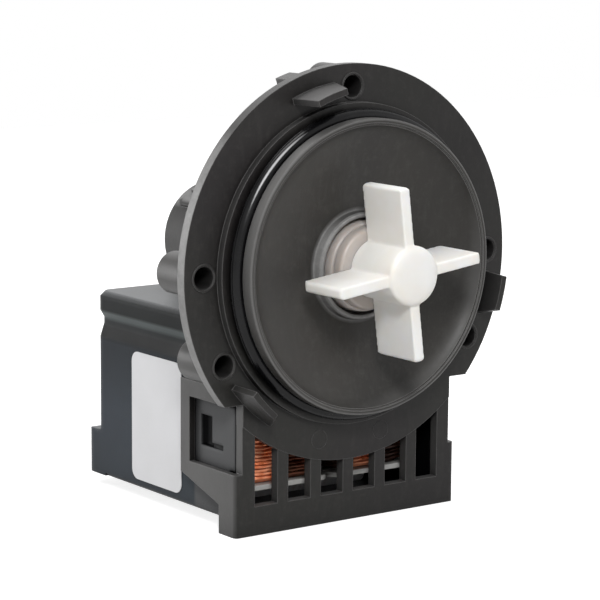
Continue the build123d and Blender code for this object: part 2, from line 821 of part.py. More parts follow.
# Ledge along the foot of the back, with a rounded top
with BuildPart() as ledge:
    with BuildSketch(Plane.XY.offset(-cover_bottom_drop)):
        with Locations((0, cover_back)):
            ledge_plan = Rectangle(2 * cover_half_width, 2 * ledge_depth)
        fillet(ledge_plan.vertices().group_by(Axis.Y)[-1], cover_corner)
    extrude(amount=ledge_height)
    with BuildSketch(Plane.YZ):
        with Locations((cover_back - cover_wall / 2, ledge_height / 2 - cover_bottom_drop)):
            ledge_side = Rectangle(2 * ledge_depth + cover_wall, ledge_height)
        fillet(ledge_side.vertices().group_by(Axis.X)[-1].sort_by(Axis.Y)[-1], ledge_round)
    extrude(amount=2 * cover_half_width, both=True, mode=Mode.INTERSECT)

with BuildPart() as rear_cover:
    for layer in layers:
        add(layer)
    add(ledge.part)
    # Tongues that reach forward in the windows of the cheeks
    for side in (-1, 1):
        tongue_span = sorted((side * cover_inside, side * cover_half_width))
        box_between(tongue_span, (tongue_front, cover_front + overrun), (-tongue_bottom_drop, -tongue_top_drop))
    # Hollow
    box_between(
        (-cover_inside, cover_inside),
        (tongue_front - overrun, cover_back - cover_wall),
        (cover_floor - cover_bottom_drop, -cover_top_drop - cover_wall),
        mode=Mode.SUBTRACT,
    )
    # Opening in the top for the poles
    box_between(
        (-opening_half_width, opening_half_width),
        (cover_front - overrun, opening_back),
        (-cover_top_drop - cover_wall - overrun, overrun - cover_top_drop),
        mode=Mode.SUBTRACT,
    )
    # Trough under the end of the rotor can
    with BuildSketch(front_plane(trough_back + trough_wall)):
        Circle(trough_radius + trough_wall)
        with Locations((0, -cover_top_drop - 2 * can_radius)):
            Rectangle(4 * can_radius, 4 * can_radius, mode=Mode.INTERSECT)
    extrude(amount=trough_back + trough_wall - opening_back)
    with BuildSketch(front_plane(trough_back)):
        Circle(trough_radius)
    extrude(amount=trough_back - opening_back + overrun, mode=Mode.SUBTRACT)
    # Latch pocket and its lead-in slot in each tongue
    for side in (-1, 1):
        pocket_span = sorted((side * (cover_half_width - latch_depth), side * (cover_half_width + overrun)))
        slot_span = sorted((side * (cover_half_width - latch_slot_depth), side * (cover_half_width + overrun)))
        box_between(
            pocket_span, (latch_front, latch_back), (-latch_bottom_drop, -latch_top_drop), mode=Mode.SUBTRACT
        )
        box_between(
            slot_span,
            (latch_slot_front, latch_front + overrun),
            (-latch_bottom_drop, latch_slot_height - latch_bottom_drop),
            mode=Mode.SUBTRACT,
        )
    # Connector socket with its key, and the slots for the terminals
    box_between(
        (-socket_width / 2 - socket_wall, socket_width / 2 + socket_wall),
        (socket_floor - socket_wall, cover_back - cover_wall / 2),
        (-socket_drop - socket_height / 2 - socket_wall, socket_wall + socket_height / 2 - socket_drop),
    )
    box_between(
        (-socket_width / 2, socket_width / 2),
        (socket_floor, cover_back + overrun),
        (-socket_drop - socket_height / 2, socket_height / 2 - socket_drop),
        mode=Mode.SUBTRACT,
    )
    box_between(
        (-key_width / 2, key_width / 2),
        (socket_floor - socket_wall / 2, cover_back),
        (socket_height / 2 - socket_drop - key_height, socket_height / 2 - socket_drop + socket_wall / 2),
    )
    for side in (-1, 1):
        terminal_x = side * terminal_pitch / 2
        slot_half_width = terminal_width / 2 + seat_gap
        slot_half_height = terminal_thickness / 2 + seat_gap
        box_between(
            (terminal_x - slot_half_width, terminal_x + slot_half_width),
            (socket_floor - socket_wall - overrun, socket_floor + overrun),
            (-socket_drop - slot_half_height, slot_half_height - socket_drop),
            mode=Mode.SUBTRACT,
        )
rear_cover.part.label = "rear_cover"
export_step(rear_cover.part, "parts/rear_cover.step")
print("rear_cover", len(rear_cover.solids()), round(rear_cover.part.volume))


# Blade terminals in the socket
terminal_front = socket_floor - socket_wall - terminal_tail
terminal_back = cover_back - terminal_recess
for name, side in (("left", -1), ("right", 1)):
    with BuildPart() as terminal:
        with BuildSketch(Plane.XY.offset(-socket_drop)):
            with Locations((side * terminal_pitch / 2, (terminal_front + terminal_back) / 2)):
                blade_plan = Rectangle(terminal_width, terminal_back - terminal_front)
            chamfer(blade_plan.vertices().group_by(Axis.Y)[-1], terminal_tip_chamfer)
            with Locations((side * terminal_pitch / 2, terminal_back - terminal_hole_setback)):
                Circle(terminal_hole_radius, mode=Mode.SUBTRACT)
        extrude(amount=terminal_thickness / 2, both=True)
    terminal.part.label = name + "_terminal"
    export_step(terminal.part, f"parts/{name}_terminal.step")


# Rating label, a bare plate on the left side of the cover
with BuildPart() as rating_label:
    with BuildSketch(Plane.YZ.offset(-cover_half_width - label_film - label_thickness)):
        with Locations((label_front + label_width / 2, -label_top_drop - label_height / 2)):
            RectangleRounded(label_width, label_height, label_corner)
    extrude(amount=label_thickness)
rating_label.part.label = "rating_label"
export_step(rating_label.part, "parts/rating_label.step")
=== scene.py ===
from math import cos, hypot, pi, radians, sin
from random import Random
import bpy
from mathutils import Matrix, Vector


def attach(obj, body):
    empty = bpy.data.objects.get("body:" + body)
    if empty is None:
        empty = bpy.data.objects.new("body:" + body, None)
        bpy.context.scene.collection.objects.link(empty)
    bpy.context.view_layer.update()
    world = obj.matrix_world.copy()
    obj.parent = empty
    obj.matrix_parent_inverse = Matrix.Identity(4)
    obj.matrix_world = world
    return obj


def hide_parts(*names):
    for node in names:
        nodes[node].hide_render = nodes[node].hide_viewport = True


# Washer drain pump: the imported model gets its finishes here, and some pieces are modelled again more finely.
# Metres; the rotor axis is Y, the impeller looks toward -Y, +Z is up. Sizes in the dictionaries are in mm.

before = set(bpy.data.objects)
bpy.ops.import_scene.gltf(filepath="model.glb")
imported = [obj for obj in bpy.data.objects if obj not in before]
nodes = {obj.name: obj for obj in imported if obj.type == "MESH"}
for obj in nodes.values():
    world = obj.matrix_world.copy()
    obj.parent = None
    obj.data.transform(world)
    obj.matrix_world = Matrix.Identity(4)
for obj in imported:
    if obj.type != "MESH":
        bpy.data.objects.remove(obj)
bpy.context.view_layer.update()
mm = 0.001
modelling = {"mergeDistance": 0.002, "ringSlack": 0.01, "roundSegments": 3}
print("frame loaded:", len(nodes), "nodes")


# steps that modelling by hand needs again and again
def deselectAll():
    if bpy.context.mode != "OBJECT":
        bpy.ops.object.mode_set(mode="OBJECT")
    bpy.ops.object.select_all(action="DESELECT")


def makeActive(piece):
    deselectAll()
    piece.select_set(True)
    bpy.context.view_layer.objects.active = piece


def applyPlace():
    bpy.ops.object.transform_apply(location=True, rotation=True, scale=True)


def swing(piece, angle):
    # turned about the rotor axis, in degrees from +X toward +Z
    piece.matrix_world = Matrix.Rotation(-radians(angle), 4, "Y")


def pickEdges(piece, wanted):
    # leaves edit mode on, with only the edges selected that the test on their two ends wants
    bpy.ops.object.mode_set(mode="OBJECT")
    points = piece.data.vertices
    for vertex in points:
        vertex.select = False
    for face in piece.data.polygons:
        face.select = False
    for edge in piece.data.edges:
        edge.select = bool(wanted(points[edge.vertices[0]].co, points[edge.vertices[1]].co))
    bpy.ops.object.mode_set(mode="EDIT")
    bpy.ops.mesh.select_mode(type="EDGE")


def applied(piece, kind, **settings):
    makeActive(piece)
    modifier = piece.modifiers.new(kind.title(), kind)
    for key, value in settings.items():
        setattr(modifier, key, value)
    bpy.ops.object.modifier_apply(modifier=modifier.name)


def settled(piece, name, angle=35):
    # the place goes into the mesh, faces look outward, and shading is smooth up to the angle
    makeActive(piece)
    applyPlace()
    bpy.ops.object.mode_set(mode="EDIT")
    bpy.ops.mesh.select_all(action="SELECT")
    bpy.ops.mesh.remove_doubles(threshold=modelling["mergeDistance"] * mm)
    bpy.ops.mesh.normals_make_consistent(inside=False)
    bpy.ops.object.mode_set(mode="OBJECT")
    bpy.ops.object.shade_smooth_by_angle(angle=radians(angle))
    piece.name = name
    piece.data.name = name
    return piece


def joined(pieces):
    makeActive(pieces[0])
    for piece in pieces:
        piece.select_set(True)
    bpy.ops.object.join()
    return pieces[0]


def boxAt(middle, size):
    # a cube stretched to its size round its middle
    deselectAll()
    bpy.ops.mesh.primitive_cube_add(size=1, location=Vector(middle) * mm)
    piece = bpy.context.object
    piece.scale = Vector(size) * mm
    applyPlace()
    return piece


def onRing(a, b, centre, station):
    # whether an edge lies on the ring of that radius and place along the axis
    radius, y = station
    slack = modelling["ringSlack"]
    return all(
        abs(hypot(p.x / mm - centre[0], p.z / mm - centre[1]) - radius) < slack and abs(p.y / mm - y) < slack
        for p in (a, b)
    )


def turned(name, stations, facets, rounded=(), closed=True, centre=(0, 0), angle=35):
    # a ring of edges is pulled along Y and scaled from station to station, each a radius and a y;
    # rounded rings are bevelled at the end, each with the station's number and its width
    radius, y = stations[0]
    place = Vector((centre[0], 0, centre[1])) * mm
    deselectAll()
    bpy.ops.mesh.primitive_circle_add(
        vertices=facets, radius=radius * mm, location=place + Vector((0, y * mm, 0)), rotation=(pi / 2, 0, 0)
    )
    piece = bpy.context.object
    applyPlace()
    bpy.ops.object.mode_set(mode="EDIT")
    bpy.ops.mesh.select_all(action="SELECT")
    for nextRadius, nextY in stations[1:]:
        bpy.ops.mesh.extrude_edges_move(TRANSFORM_OT_translate={"value": (0, (nextY - y) * mm, 0)})
        share = nextRadius / radius
        if share != 1:
            middle = place + Vector((0, nextY * mm, 0))
            bpy.ops.transform.resize(value=(share, 1, share), center_override=middle)
        radius, y = nextRadius, nextY
    first, last = stations[0], stations[-1]
    if closed:
        pickEdges(piece, lambda a, b: onRing(a, b, centre, first) or onRing(a, b, centre, last))
        bpy.ops.mesh.bridge_edge_loops()
    else:
        for end in (first, last):
            pickEdges(piece, lambda a, b: onRing(a, b, centre, end))
            bpy.ops.mesh.edge_face_add()
    for number, width in rounded:
        pickEdges(piece, lambda a, b: onRing(a, b, centre, stations[number]))
        bpy.ops.mesh.bevel(
            offset=width * mm, segments=modelling["roundSegments"], profile=0.5, affect="EDGES", clamp_overlap=False
        )
    bpy.ops.object.mode_set(mode="OBJECT")
    return settled(piece, name, angle)


class Wire:
    # a socket in a node tree: sums written on it add Math nodes
    def __init__(self, tree, socket):
        self.tree = tree
        self.socket = socket

    def sum(self, operation, first, second):
        return self.tree.node("ShaderNodeMath", {"operation": operation}, {0: first, 1: second}, 0)

    def __add__(self, other):
        return self.sum("ADD", self, other)

    __radd__ = __add__

    def __sub__(self, other):
        return self.sum("SUBTRACT", self, other)

    def __rsub__(self, other):
        return self.sum("SUBTRACT", other, self)

    def __mul__(self, other):
        return self.sum("MULTIPLY", self, other)

    __rmul__ = __mul__

    def __pow__(self, other):
        return self.sum("POWER", self, other)


class NodeTree:
    # the nodes of a material or of the world, each made by node()
    def __init__(self, tree):
        self.tree = tree

    def node(self, kind, settings, sockets, output):
        made = self.tree.nodes.new(kind)
        for key, value in settings.items():
            setattr(made, key, value)
        for key, value in sockets.items():
            self.fill(made.inputs[key], value)
        return Wire(self, made.outputs[output])

    def fill(self, socket, value):
        if isinstance(value, Wire):
            self.tree.links.new(value.socket, socket)
        else:
            socket.default_value = value

    def seenDirectly(self):
        # 1 for rays that show the stage itself, to the camera or in gloss and glass,
        # 0 for its light on the object
        share = self.node("ShaderNodeLightPath", {}, {}, "Is Camera Ray")
        for name in ("Is Glossy Ray", "Is Transmission Ray"):
            ray = self.node("ShaderNodeLightPath", {}, {}, name)
            share = self.node("ShaderNodeMath", {"operation": "MAXIMUM"}, {0: share, 1: ray}, 0)
        return share


shading = {
    "edgeSamples": 6, "edgeSpan": (0.02, 1.0), "cavitySamples": 5, "openSpan": (0.25, 0.85), "ringFacing": (0.45, 0.9),
}


class Finish(NodeTree):
    # one material round a Principled shader, whose fixed values are given by their socket names
    def __init__(self, name, fixed):
        self.material = bpy.data.materials.new(name)
        self.material.use_nodes = True
        super().__init__(self.material.node_tree)
        self.shader = next(n for n in self.tree.nodes if n.type == "BSDF_PRINCIPLED")
        for socket, value in fixed.items():
            self.shader.inputs[socket].default_value = value

    def feed(self, **sockets):
        # BaseColor=..., Roughness=..., Normal=... on the shader
        for name, value in sockets.items():
            self.fill(self.shader.inputs[name.replace("Color", " Color")], value)

    def place(self):
        return self.node("ShaderNodeTexCoord", {}, {}, "Object")

    def along(self, axis):
        return self.node("ShaderNodeSeparateXYZ", {}, {0: self.place()}, axis)

    def stretched(self, scale):
        # the place, scaled by its own amount along each axis
        return self.node("ShaderNodeMapping", {}, {"Vector": self.place(), "Scale": scale}, "Vector")

    def noise(self, scale, detail=2.0, roughness=0.5, vector=None):
        sockets = {"Vector": vector or self.place(), "Scale": scale, "Detail": detail, "Roughness": roughness}
        return self.node("ShaderNodeTexNoise", {}, sockets, 0)

    def between(self, wire, low, high, toLow=0.0, toHigh=1.0):
        sockets = {"Value": wire, "From Min": low, "From Max": high, "To Min": toLow, "To Max": toHigh}
        return self.node("ShaderNodeMapRange", {"clamp": True}, sockets, 0)

    def blend(self, share, first, second):
        # two colours mixed by a share from 0 to 1; a Mix node has its colours at 6 and 7, and gives theirs at 2
        first, second = (value if isinstance(value, Wire) else (*value, 1) for value in (first, second))
        return self.node("ShaderNodeMix", {"data_type": "RGBA"}, {0: share, 6: first, 7: second}, 2)

    def apart(self, wire, middle):
        return self.node("ShaderNodeMath", {"operation": "ABSOLUTE"}, {0: wire - middle}, 0)

    def alike(self, first, second):
        # the cosine between two directions
        return self.node("ShaderNodeVectorMath", {"operation": "DOT_PRODUCT"}, {0: first, 1: second}, "Value")

    def softEdges(self, width):
        return self.node("ShaderNodeBevel", {"samples": shading["edgeSamples"]}, {"Radius": width * mm}, "Normal")

    def edgeMask(self, soft, gain):
        # bright where the rounded normal leaves the real one, so along edges
        flat = self.node("ShaderNodeNewGeometry", {}, {}, "Normal")
        return self.between((1 - self.alike(soft, flat)) * gain, *shading["edgeSpan"])

    def looking(self, direction, low, high, normal=None):
        # rises from 0 to 1 as a face turns that way, between the two cosines
        normal = normal or self.node("ShaderNodeTexCoord", {}, {}, "Normal")
        return self.between(self.alike(normal, direction), low, high)

    def cavity(self, reach):
        # 1 deep in corners and pockets, 0 in the open
        samples = {"samples": shading["cavitySamples"]}
        clear = self.node("ShaderNodeAmbientOcclusion", samples, {"Distance": reach * mm}, "AO")
        return self.between(clear, *shading["openSpan"], 1.0, 0.0)

    def ringHighlight(self, radius, width, side):
        # a band of painted highlight round the rotor axis on what looks to one side, strongest at its own radius
        x, z = self.along("X"), self.along("Z")
        away = self.apart((x * x + z * z) ** 0.5, radius * mm)
        return self.between(away, 0.0, width * mm, 1.0, 0.0) * self.looking(side, *shading["ringFacing"])

    def bumped(self, height, distance, strength, normal=None):
        sockets = {"Height": height, "Distance": distance * mm, "Strength": strength}
        if normal:
            sockets["Normal"] = normal
        return self.node("ShaderNodeBump", {}, sockets, "Normal")


def latchPlaces(finish, latch):
    # where the cover shows in the cheek's window, and where its pocket is cut in there, which is painted dark as shade
    back, top, halfWidth = latch["back"], latch["top"], latch["halfWidth"]
    across = finish.along("X")
    inWindow = finish.between(finish.along("Y"), (back + latch["fade"]) * mm, back * mm)
    inWindow = inWindow * finish.between(finish.along("Z"), top * mm, (top - latch["fade"]) * mm)
    skin, cut = (halfWidth - latch["skin"]) * mm, (halfWidth - latch["cut"]) * mm
    return inWindow, inWindow * finish.between((across * across) ** 0.5, skin, cut)


# what every moulded plastic shares: the spans of its noises, and how far its roughness strays
mould = {
    "cloudSpan": (0.32, 0.68), "tintSpan": (0.38, 0.62), "streakSpan": (0.5, 0.8), "fleckSpan": (0.5, 0.8),
    "grainSpan": (-0.2, 1.2), "smoother": 0.06, "rougher": 0.08, "fleckHeight": 2,
}


# Lists that a look may have, one row for each place:
#   highlightRings: painted highlights round the rotor axis: radius, width, share; they look forward and take the edge's
#       colour
#   lightAndShadeBands: painted light and shade along an axis: axis, where it starts and where it is full, share, colour
#   litFaces: painted light on faces that look one way: direction, the cosines at which it starts and is full, share,
#       colour
#   rimHighlights: painted highlights on rims: radius, width, direction, the x where it starts and where it is full,
#       share, colour
def mouldedPlastic(name, look):
    # spark-eroded mould grain, cloudy colour in two tints, faint streaks; edges and rings painted lighter as
    # highlights, faces painted lighter by the way they look, bands painted lighter and darker as light and shade, and
    # cavities painted darker as shade
    finish = Finish(name, {"IOR": 1.5, "Specular IOR Level": look["specular"]})
    cloud = finish.between(finish.noise(look["cloudScale"], 3.0), *mould["cloudSpan"])
    tint = finish.between(finish.noise(look["tintScale"], 1.0), *mould["tintSpan"])
    pulled = finish.stretched(look["streakScale"])
    streak = finish.between(finish.noise(1.0, 3.0, 0.6, pulled), *mould["streakSpan"])
    grain = finish.noise(look["grainScale"], 3.0, 0.6)
    fleck = finish.noise(look["fleckScale"], 4.0, 0.7)
    soft = finish.softEdges(look["edgeRound"])
    # painted highlight: edges are lightened where the rounded normal leaves the real one
    edge = finish.edgeMask(soft, look["edgeGain"])
    for radius, width, share in look.get("highlightRings", ()):
        edge = edge + finish.ringHighlight(radius, width, (0, -1, 0)) * share
    edge = finish.between(edge, 0.0, 1.0)
    body = finish.blend(cloud, look["darker"], look["lighter"])
    body = finish.blend(tint * look["tintShare"], body, look["tint"])
    body = finish.blend(streak * look["streakShare"], body, look["streak"])
    body = finish.blend(finish.between(fleck, *mould["fleckSpan"]) * look["fleckShare"], body, look["streak"])
    # painted light and painted shade in bands along an axis
    for axis, start, end, share, colour in look.get("lightAndShadeBands", ()):
        fade = finish.between(finish.along(axis), start * mm, end * mm)
        body = finish.blend(fade * share, body, colour)
    # painted light on faces turned toward the lamps
    for direction, low, high, share, colour in look.get("litFaces", ()):
        facingLight = finish.looking(direction, low, high, soft)
        body = finish.blend(facingLight * (cloud * 0.3 + 0.7) * share, body, colour)
    # painted highlights on rims that face the lamps
    for radius, width, side, start, end, share, colour in look.get("rimHighlights", ()):
        rim = finish.ringHighlight(radius, width, side) * finish.between(finish.along("X"), start * mm, end * mm)
        body = finish.blend(rim * (fleck + 0.3) * share, body, colour)
    if "latch" in look:
        inWindow, pocketShade = latchPlaces(finish, look["latch"])
        body = finish.blend(inWindow, body, look["latch"]["tongue"])
    # painted shade: corners, pockets and recesses darkened by the occlusion mask
    body = finish.blend(finish.cavity(look["cavityShadeReach"]) * look["cavityShadeShare"], body, look["cavityShade"])
    # painted highlights on edges and rings
    body = finish.blend(edge * look["edgeHighlightShare"], body, look["edge"])
    # painted shade: the pocket in the window is filled dark
    if "latch" in look:
        body = finish.blend(pocketShade, body, look["cavityShade"])
    smooth, rough = look["roughness"] - mould["smoother"], look["roughness"] + mould["rougher"]
    finish.feed(
        BaseColor=body,
        Roughness=finish.between(cloud + (grain - 0.5), *mould["grainSpan"], smooth, rough),
        Normal=finish.bumped(grain + fleck * mould["fleckHeight"], look["grainDepth"], look["grainStrength"], soft),
    )
    return finish.material


housingLook = {
    "darker": (0.0130, 0.0115, 0.0118), "lighter": (0.0220, 0.0195, 0.0198), "cloudScale": 42,
    "tint": (0.019, 0.019, 0.0165), "tintShare": 0.7, "tintScale": 28,
    "streak": (0.042, 0.039, 0.037), "streakShare": 0.35, "streakScale": (500, 500, 120),
    "fleckScale": 520, "fleckShare": 0.45,
    # painted light and shade: edges lighter, darker toward the right, faces looking left and up lighter, the flange's
    # left rim lighter, cavities darker
    "edge": (0.15, 0.147, 0.145), "edgeHighlightShare": 0.65, "edgeGain": 8.0, "edgeRound": 0.3,
    "lightAndShadeBands": (("X", -25, 44, 0.28, (0.003, 0.0028, 0.0028)),),
    "litFaces": (
        ((-1, 0, 0), 0.4, 0.9, 0.55, (0.12, 0.118, 0.117)),
        ((0, 0, 1), 0.7, 0.95, 0.65, (0.17, 0.168, 0.167)),
    ),
    "rimHighlights": ((44.0, 0.5, (-1, 0, 0), -30.7, -34, 0.9, (0.26, 0.258, 0.255)),),
    "cavityShade": (0.003, 0.0028, 0.0028), "cavityShadeShare": 0.85, "cavityShadeReach": 7,
    "roughness": 0.40, "specular": 0.21, "grainScale": 2600, "grainDepth": 0.05, "grainStrength": 0.35,
}
dishLook = {
    "darker": (0.024, 0.0225, 0.021), "lighter": (0.042, 0.040, 0.037), "cloudScale": 55,
    "tint": (0.041, 0.037, 0.032), "tintShare": 0.6, "tintScale": 35,
    "streak": (0.095, 0.092, 0.086), "streakShare": 0.16, "streakScale": (800, 800, 90),
    "fleckScale": 480, "fleckShare": 0.3,
    # painted light and shade: edges and rim rings lighter, darker toward the right and lighter toward the left, faces
    # looking up and left lighter, cavities darker
    "edge": (0.24, 0.238, 0.235), "edgeHighlightShare": 0.85, "edgeGain": 10.0, "edgeRound": 0.22,
    "highlightRings": ((32.3, 0.35, 0.5), (31.6, 0.2, 0.35)),
    "lightAndShadeBands": (("X", -18, 32, 0.5, (0.006, 0.0058, 0.0055)), ("X", -6, -26, 0.5, (0.075, 0.0725, 0.070))),
    "litFaces": (((-0.8, 0, 0.6), 0.3, 0.95, 0.6, (0.20, 0.198, 0.195)),),
    "rimHighlights": (  # painted highlights on the collar's front, then on its side
        (11.5, 1.5, (0, -1, 0), 40, 12, 1.0, (0.36, 0.358, 0.354)),
        (12.1, 1.8, (-1, 0, 0), 6, -4, 1.0, (0.36, 0.357, 0.352)),
    ),
    "cavityShade": (0.006, 0.0058, 0.0055), "cavityShadeShare": 0.4, "cavityShadeReach": 5,
    "roughness": 0.44, "specular": 0.24, "grainScale": 2400, "grainDepth": 0.05, "grainStrength": 0.35,
}
coverLook = {
    "darker": (0.0235, 0.0275, 0.0335), "lighter": (0.0365, 0.0430, 0.0530), "cloudScale": 36,
    "tint": (0.031, 0.040, 0.0465), "tintShare": 0.6, "tintScale": 22,
    "streak": (0.034, 0.037, 0.042), "streakShare": 0.3, "streakScale": (120, 120, 600),
    "fleckScale": 420, "fleckShare": 0.4,
    # painted light and shade: edges slightly lighter, the top face lighter, cavities and the window's pocket darker
    "edge": (0.11, 0.117, 0.125), "edgeHighlightShare": 0.06, "edgeGain": 2.5, "edgeRound": 1.3,
    "lightAndShadeBands": (  # painted shade darker upward, then painted shade on the groove's slope and floor, a painted highlight on its lip and painted shade on the band over it
        ("Z", -38, -24, 0.45, (0.002, 0.0022, 0.0026)), ("Z", -22.9, -21.6, 0.95, (0.0012, 0.0014, 0.0016)),
        ("Z", -19.6, -18.3, 0.95, (0.019, 0.0215, 0.0225)), ("Z", -18.1, -17.2, 0.9, (0.105, 0.12, 0.12)),
        ("Z", -16.3, -15.5, 0.95, (0.0055, 0.0062, 0.0066)),
    ),
    "litFaces": (((0, 0, 1), 0.6, 0.95, 0.85, (0.26, 0.265, 0.27)),),
    "latch": {
        "halfWidth": 28.9, "back": 18, "top": -27, "fade": 1, "skin": 0.12, "cut": 0.6,
        "tongue": (0.085, 0.086, 0.088),
    },
    "cavityShade": (0.002, 0.0022, 0.0026), "cavityShadeShare": 0.95, "cavityShadeReach": 11,
    "roughness": 0.40, "specular": 0.055, "grainScale": 2200, "grainDepth": 0.05, "grainStrength": 0.25,
}
canLook = {
    "darker": (0.012, 0.0115, 0.011), "lighter": (0.020, 0.019, 0.0185), "cloudScale": 60,
    "tint": (0.018, 0.017, 0.016), "tintShare": 0.6, "tintScale": 40,
    "streak": (0.05, 0.048, 0.046), "streakShare": 0.2, "streakScale": (90, 800, 90),
    "fleckScale": 520, "fleckShare": 0.35,
    # painted light and shade: edges lighter, a painted highlight on faces looking up and left, cavities darker
    "edge": (0.17, 0.17, 0.168), "edgeHighlightShare": 0.8, "edgeGain": 9.0, "edgeRound": 0.25,
    "litFaces": (((-0.616, 0, 0.788), 0.95, 0.99, 0.9, (0.19, 0.188, 0.186)),),
    "cavityShade": (0.003, 0.003, 0.003), "cavityShadeShare": 0.7, "cavityShadeReach": 5,
    "roughness": 0.42, "specular": 0.20, "grainScale": 2400, "grainDepth": 0.05, "grainStrength": 0.3,
}
bobbinLook = {
    "darker": (0.44, 0.44, 0.43), "lighter": (0.53, 0.53, 0.52), "cloudScale": 60,
    "tint": (0.50, 0.49, 0.46), "tintShare": 0.5, "tintScale": 40,
    "streak": (0.60, 0.60, 0.58), "streakShare": 0.3, "streakScale": (400, 400, 100),
    "fleckScale": 500, "fleckShare": 0.2,
    # painted light and shade: edges lighter, cavities darker
    "edge": (0.72, 0.72, 0.70), "edgeHighlightShare": 0.4, "edgeGain": 4.0, "edgeRound": 0.2,
    "cavityShade": (0.10, 0.09, 0.08), "cavityShadeShare": 0.5, "cavityShadeReach": 3,
    "roughness": 0.42, "specular": 0.5, "grainScale": 2400, "grainDepth": 0.03, "grainStrength": 0.2,
}
couplingLook = {
    "darker": (0.66, 0.64, 0.58), "lighter": (0.72, 0.70, 0.64), "cloudScale": 80,
    "tint": (0.70, 0.66, 0.58), "tintShare": 0.5, "tintScale": 50,
    "streak": (0.76, 0.74, 0.70), "streakShare": 0.3, "streakScale": (500, 80, 500),
    "fleckScale": 500, "fleckShare": 0.2,
    # painted light and shade: edges lighter, cavities darker
    "edge": (0.8, 0.79, 0.76), "edgeHighlightShare": 0.4, "edgeGain": 4.0, "edgeRound": 0.15,
    "cavityShade": (0.20, 0.18, 0.15), "cavityShadeShare": 0.4, "cavityShadeReach": 2,
    "roughness": 0.4, "specular": 0.5, "grainScale": 2600, "grainDepth": 0.02, "grainStrength": 0.2,
}
housingPlastic = mouldedPlastic("housingPlastic", housingLook)
dishPlastic = mouldedPlastic("dishPlastic", dishLook)
coverPlastic = mouldedPlastic("coverPlastic", coverLook)
canPlastic = mouldedPlastic("canPlastic", canLook)
bobbinPlastic = mouldedPlastic("bobbinPlastic", bobbinLook)
couplingPlastic = mouldedPlastic("couplingPlastic", couplingLook)


# what both pale plastics share
paleMould = {
    "scatter": (1.0, 0.85, 0.7), "cloudSpan": (0.3, 0.7), "rippleSpan": (0.2, 0.8), "spread": 0.06,
    "rippleDepth": 0.03, "rippleStrength": 0.25,
}


def whitePlastic(name, look):
    # filled polypropylene: light goes a little way in, the skin is satin
    finish = Finish(name, {
        "IOR": 1.49, "Subsurface Weight": look["depthShare"], "Subsurface Radius": paleMould["scatter"],
        "Subsurface Scale": look["depth"] * mm,
    })
    cloud = finish.between(finish.noise(look["cloudScale"], 3.0), *paleMould["cloudSpan"])
    ripple = finish.noise(look["rippleScale"], 2.0)
    smooth, rough = look["roughness"] - paleMould["spread"], look["roughness"] + paleMould["spread"]
    finish.feed(
        BaseColor=finish.blend(cloud, look["darker"], look["lighter"]),
        Roughness=finish.between(ripple, *paleMould["rippleSpan"], smooth, rough),
        Normal=finish.bumped(ripple, paleMould["rippleDepth"], paleMould["rippleStrength"]),
    )
    return finish.material


impellerLook = {
    "darker": (0.89, 0.86, 0.80), "lighter": (0.96, 0.955, 0.945), "depthShare": 0.35, "depth": 1.6,
    "cloudScale": 90, "rippleScale": 1400, "roughness": 0.38,
}
footLook = {
    "darker": (0.44, 0.395, 0.365), "lighter": (0.54, 0.50, 0.475), "depthShare": 0.85, "depth": 3.0,
    "cloudScale": 110, "rippleScale": 1400, "roughness": 0.36,
}
impellerPlastic = whitePlastic("impellerPlastic", impellerLook)
footPlastic = whitePlastic("footPlastic", footLook)


def sealRubber():
    # black and smooth, with a painted highlight on the side that looks up and forward
    look = {
        "dark": (0.003, 0.003, 0.0035), "dust": (0.010, 0.010, 0.011), "dustShare": 0.6, "dustScale": 160,
        "paintedGlint": (0.55, 0.55, 0.56), "glintSide": (-0.46, -0.766, 0.45), "glintSpan": (0.978, 0.998), "glintShare": 0.9,
        "skinScale": 1500, "smooth": 0.22, "rough": 0.38,
    }
    finish = Finish("sealRubber", {"IOR": 1.5, "Specular IOR Level": 0.20})
    dust = finish.between(finish.noise(look["dustScale"], 4.0, 0.6), 0.5, 0.75)
    skin = finish.noise(look["skinScale"], 2.0)
    # painted highlight where the faces look toward the key lamp
    paintedGlint = finish.looking(look["glintSide"], *look["glintSpan"]) * look["glintShare"]
    dusty = finish.blend(dust * look["dustShare"], look["dark"], look["dust"])
    finish.feed(
        BaseColor=finish.blend(paintedGlint, dusty, look["paintedGlint"]),
        Roughness=finish.between(dust + skin * 0.4, 0.0, 1.3, look["smooth"], look["rough"]),
        Normal=finish.bumped(skin, 0.02, 0.2),
    )
    return finish.material


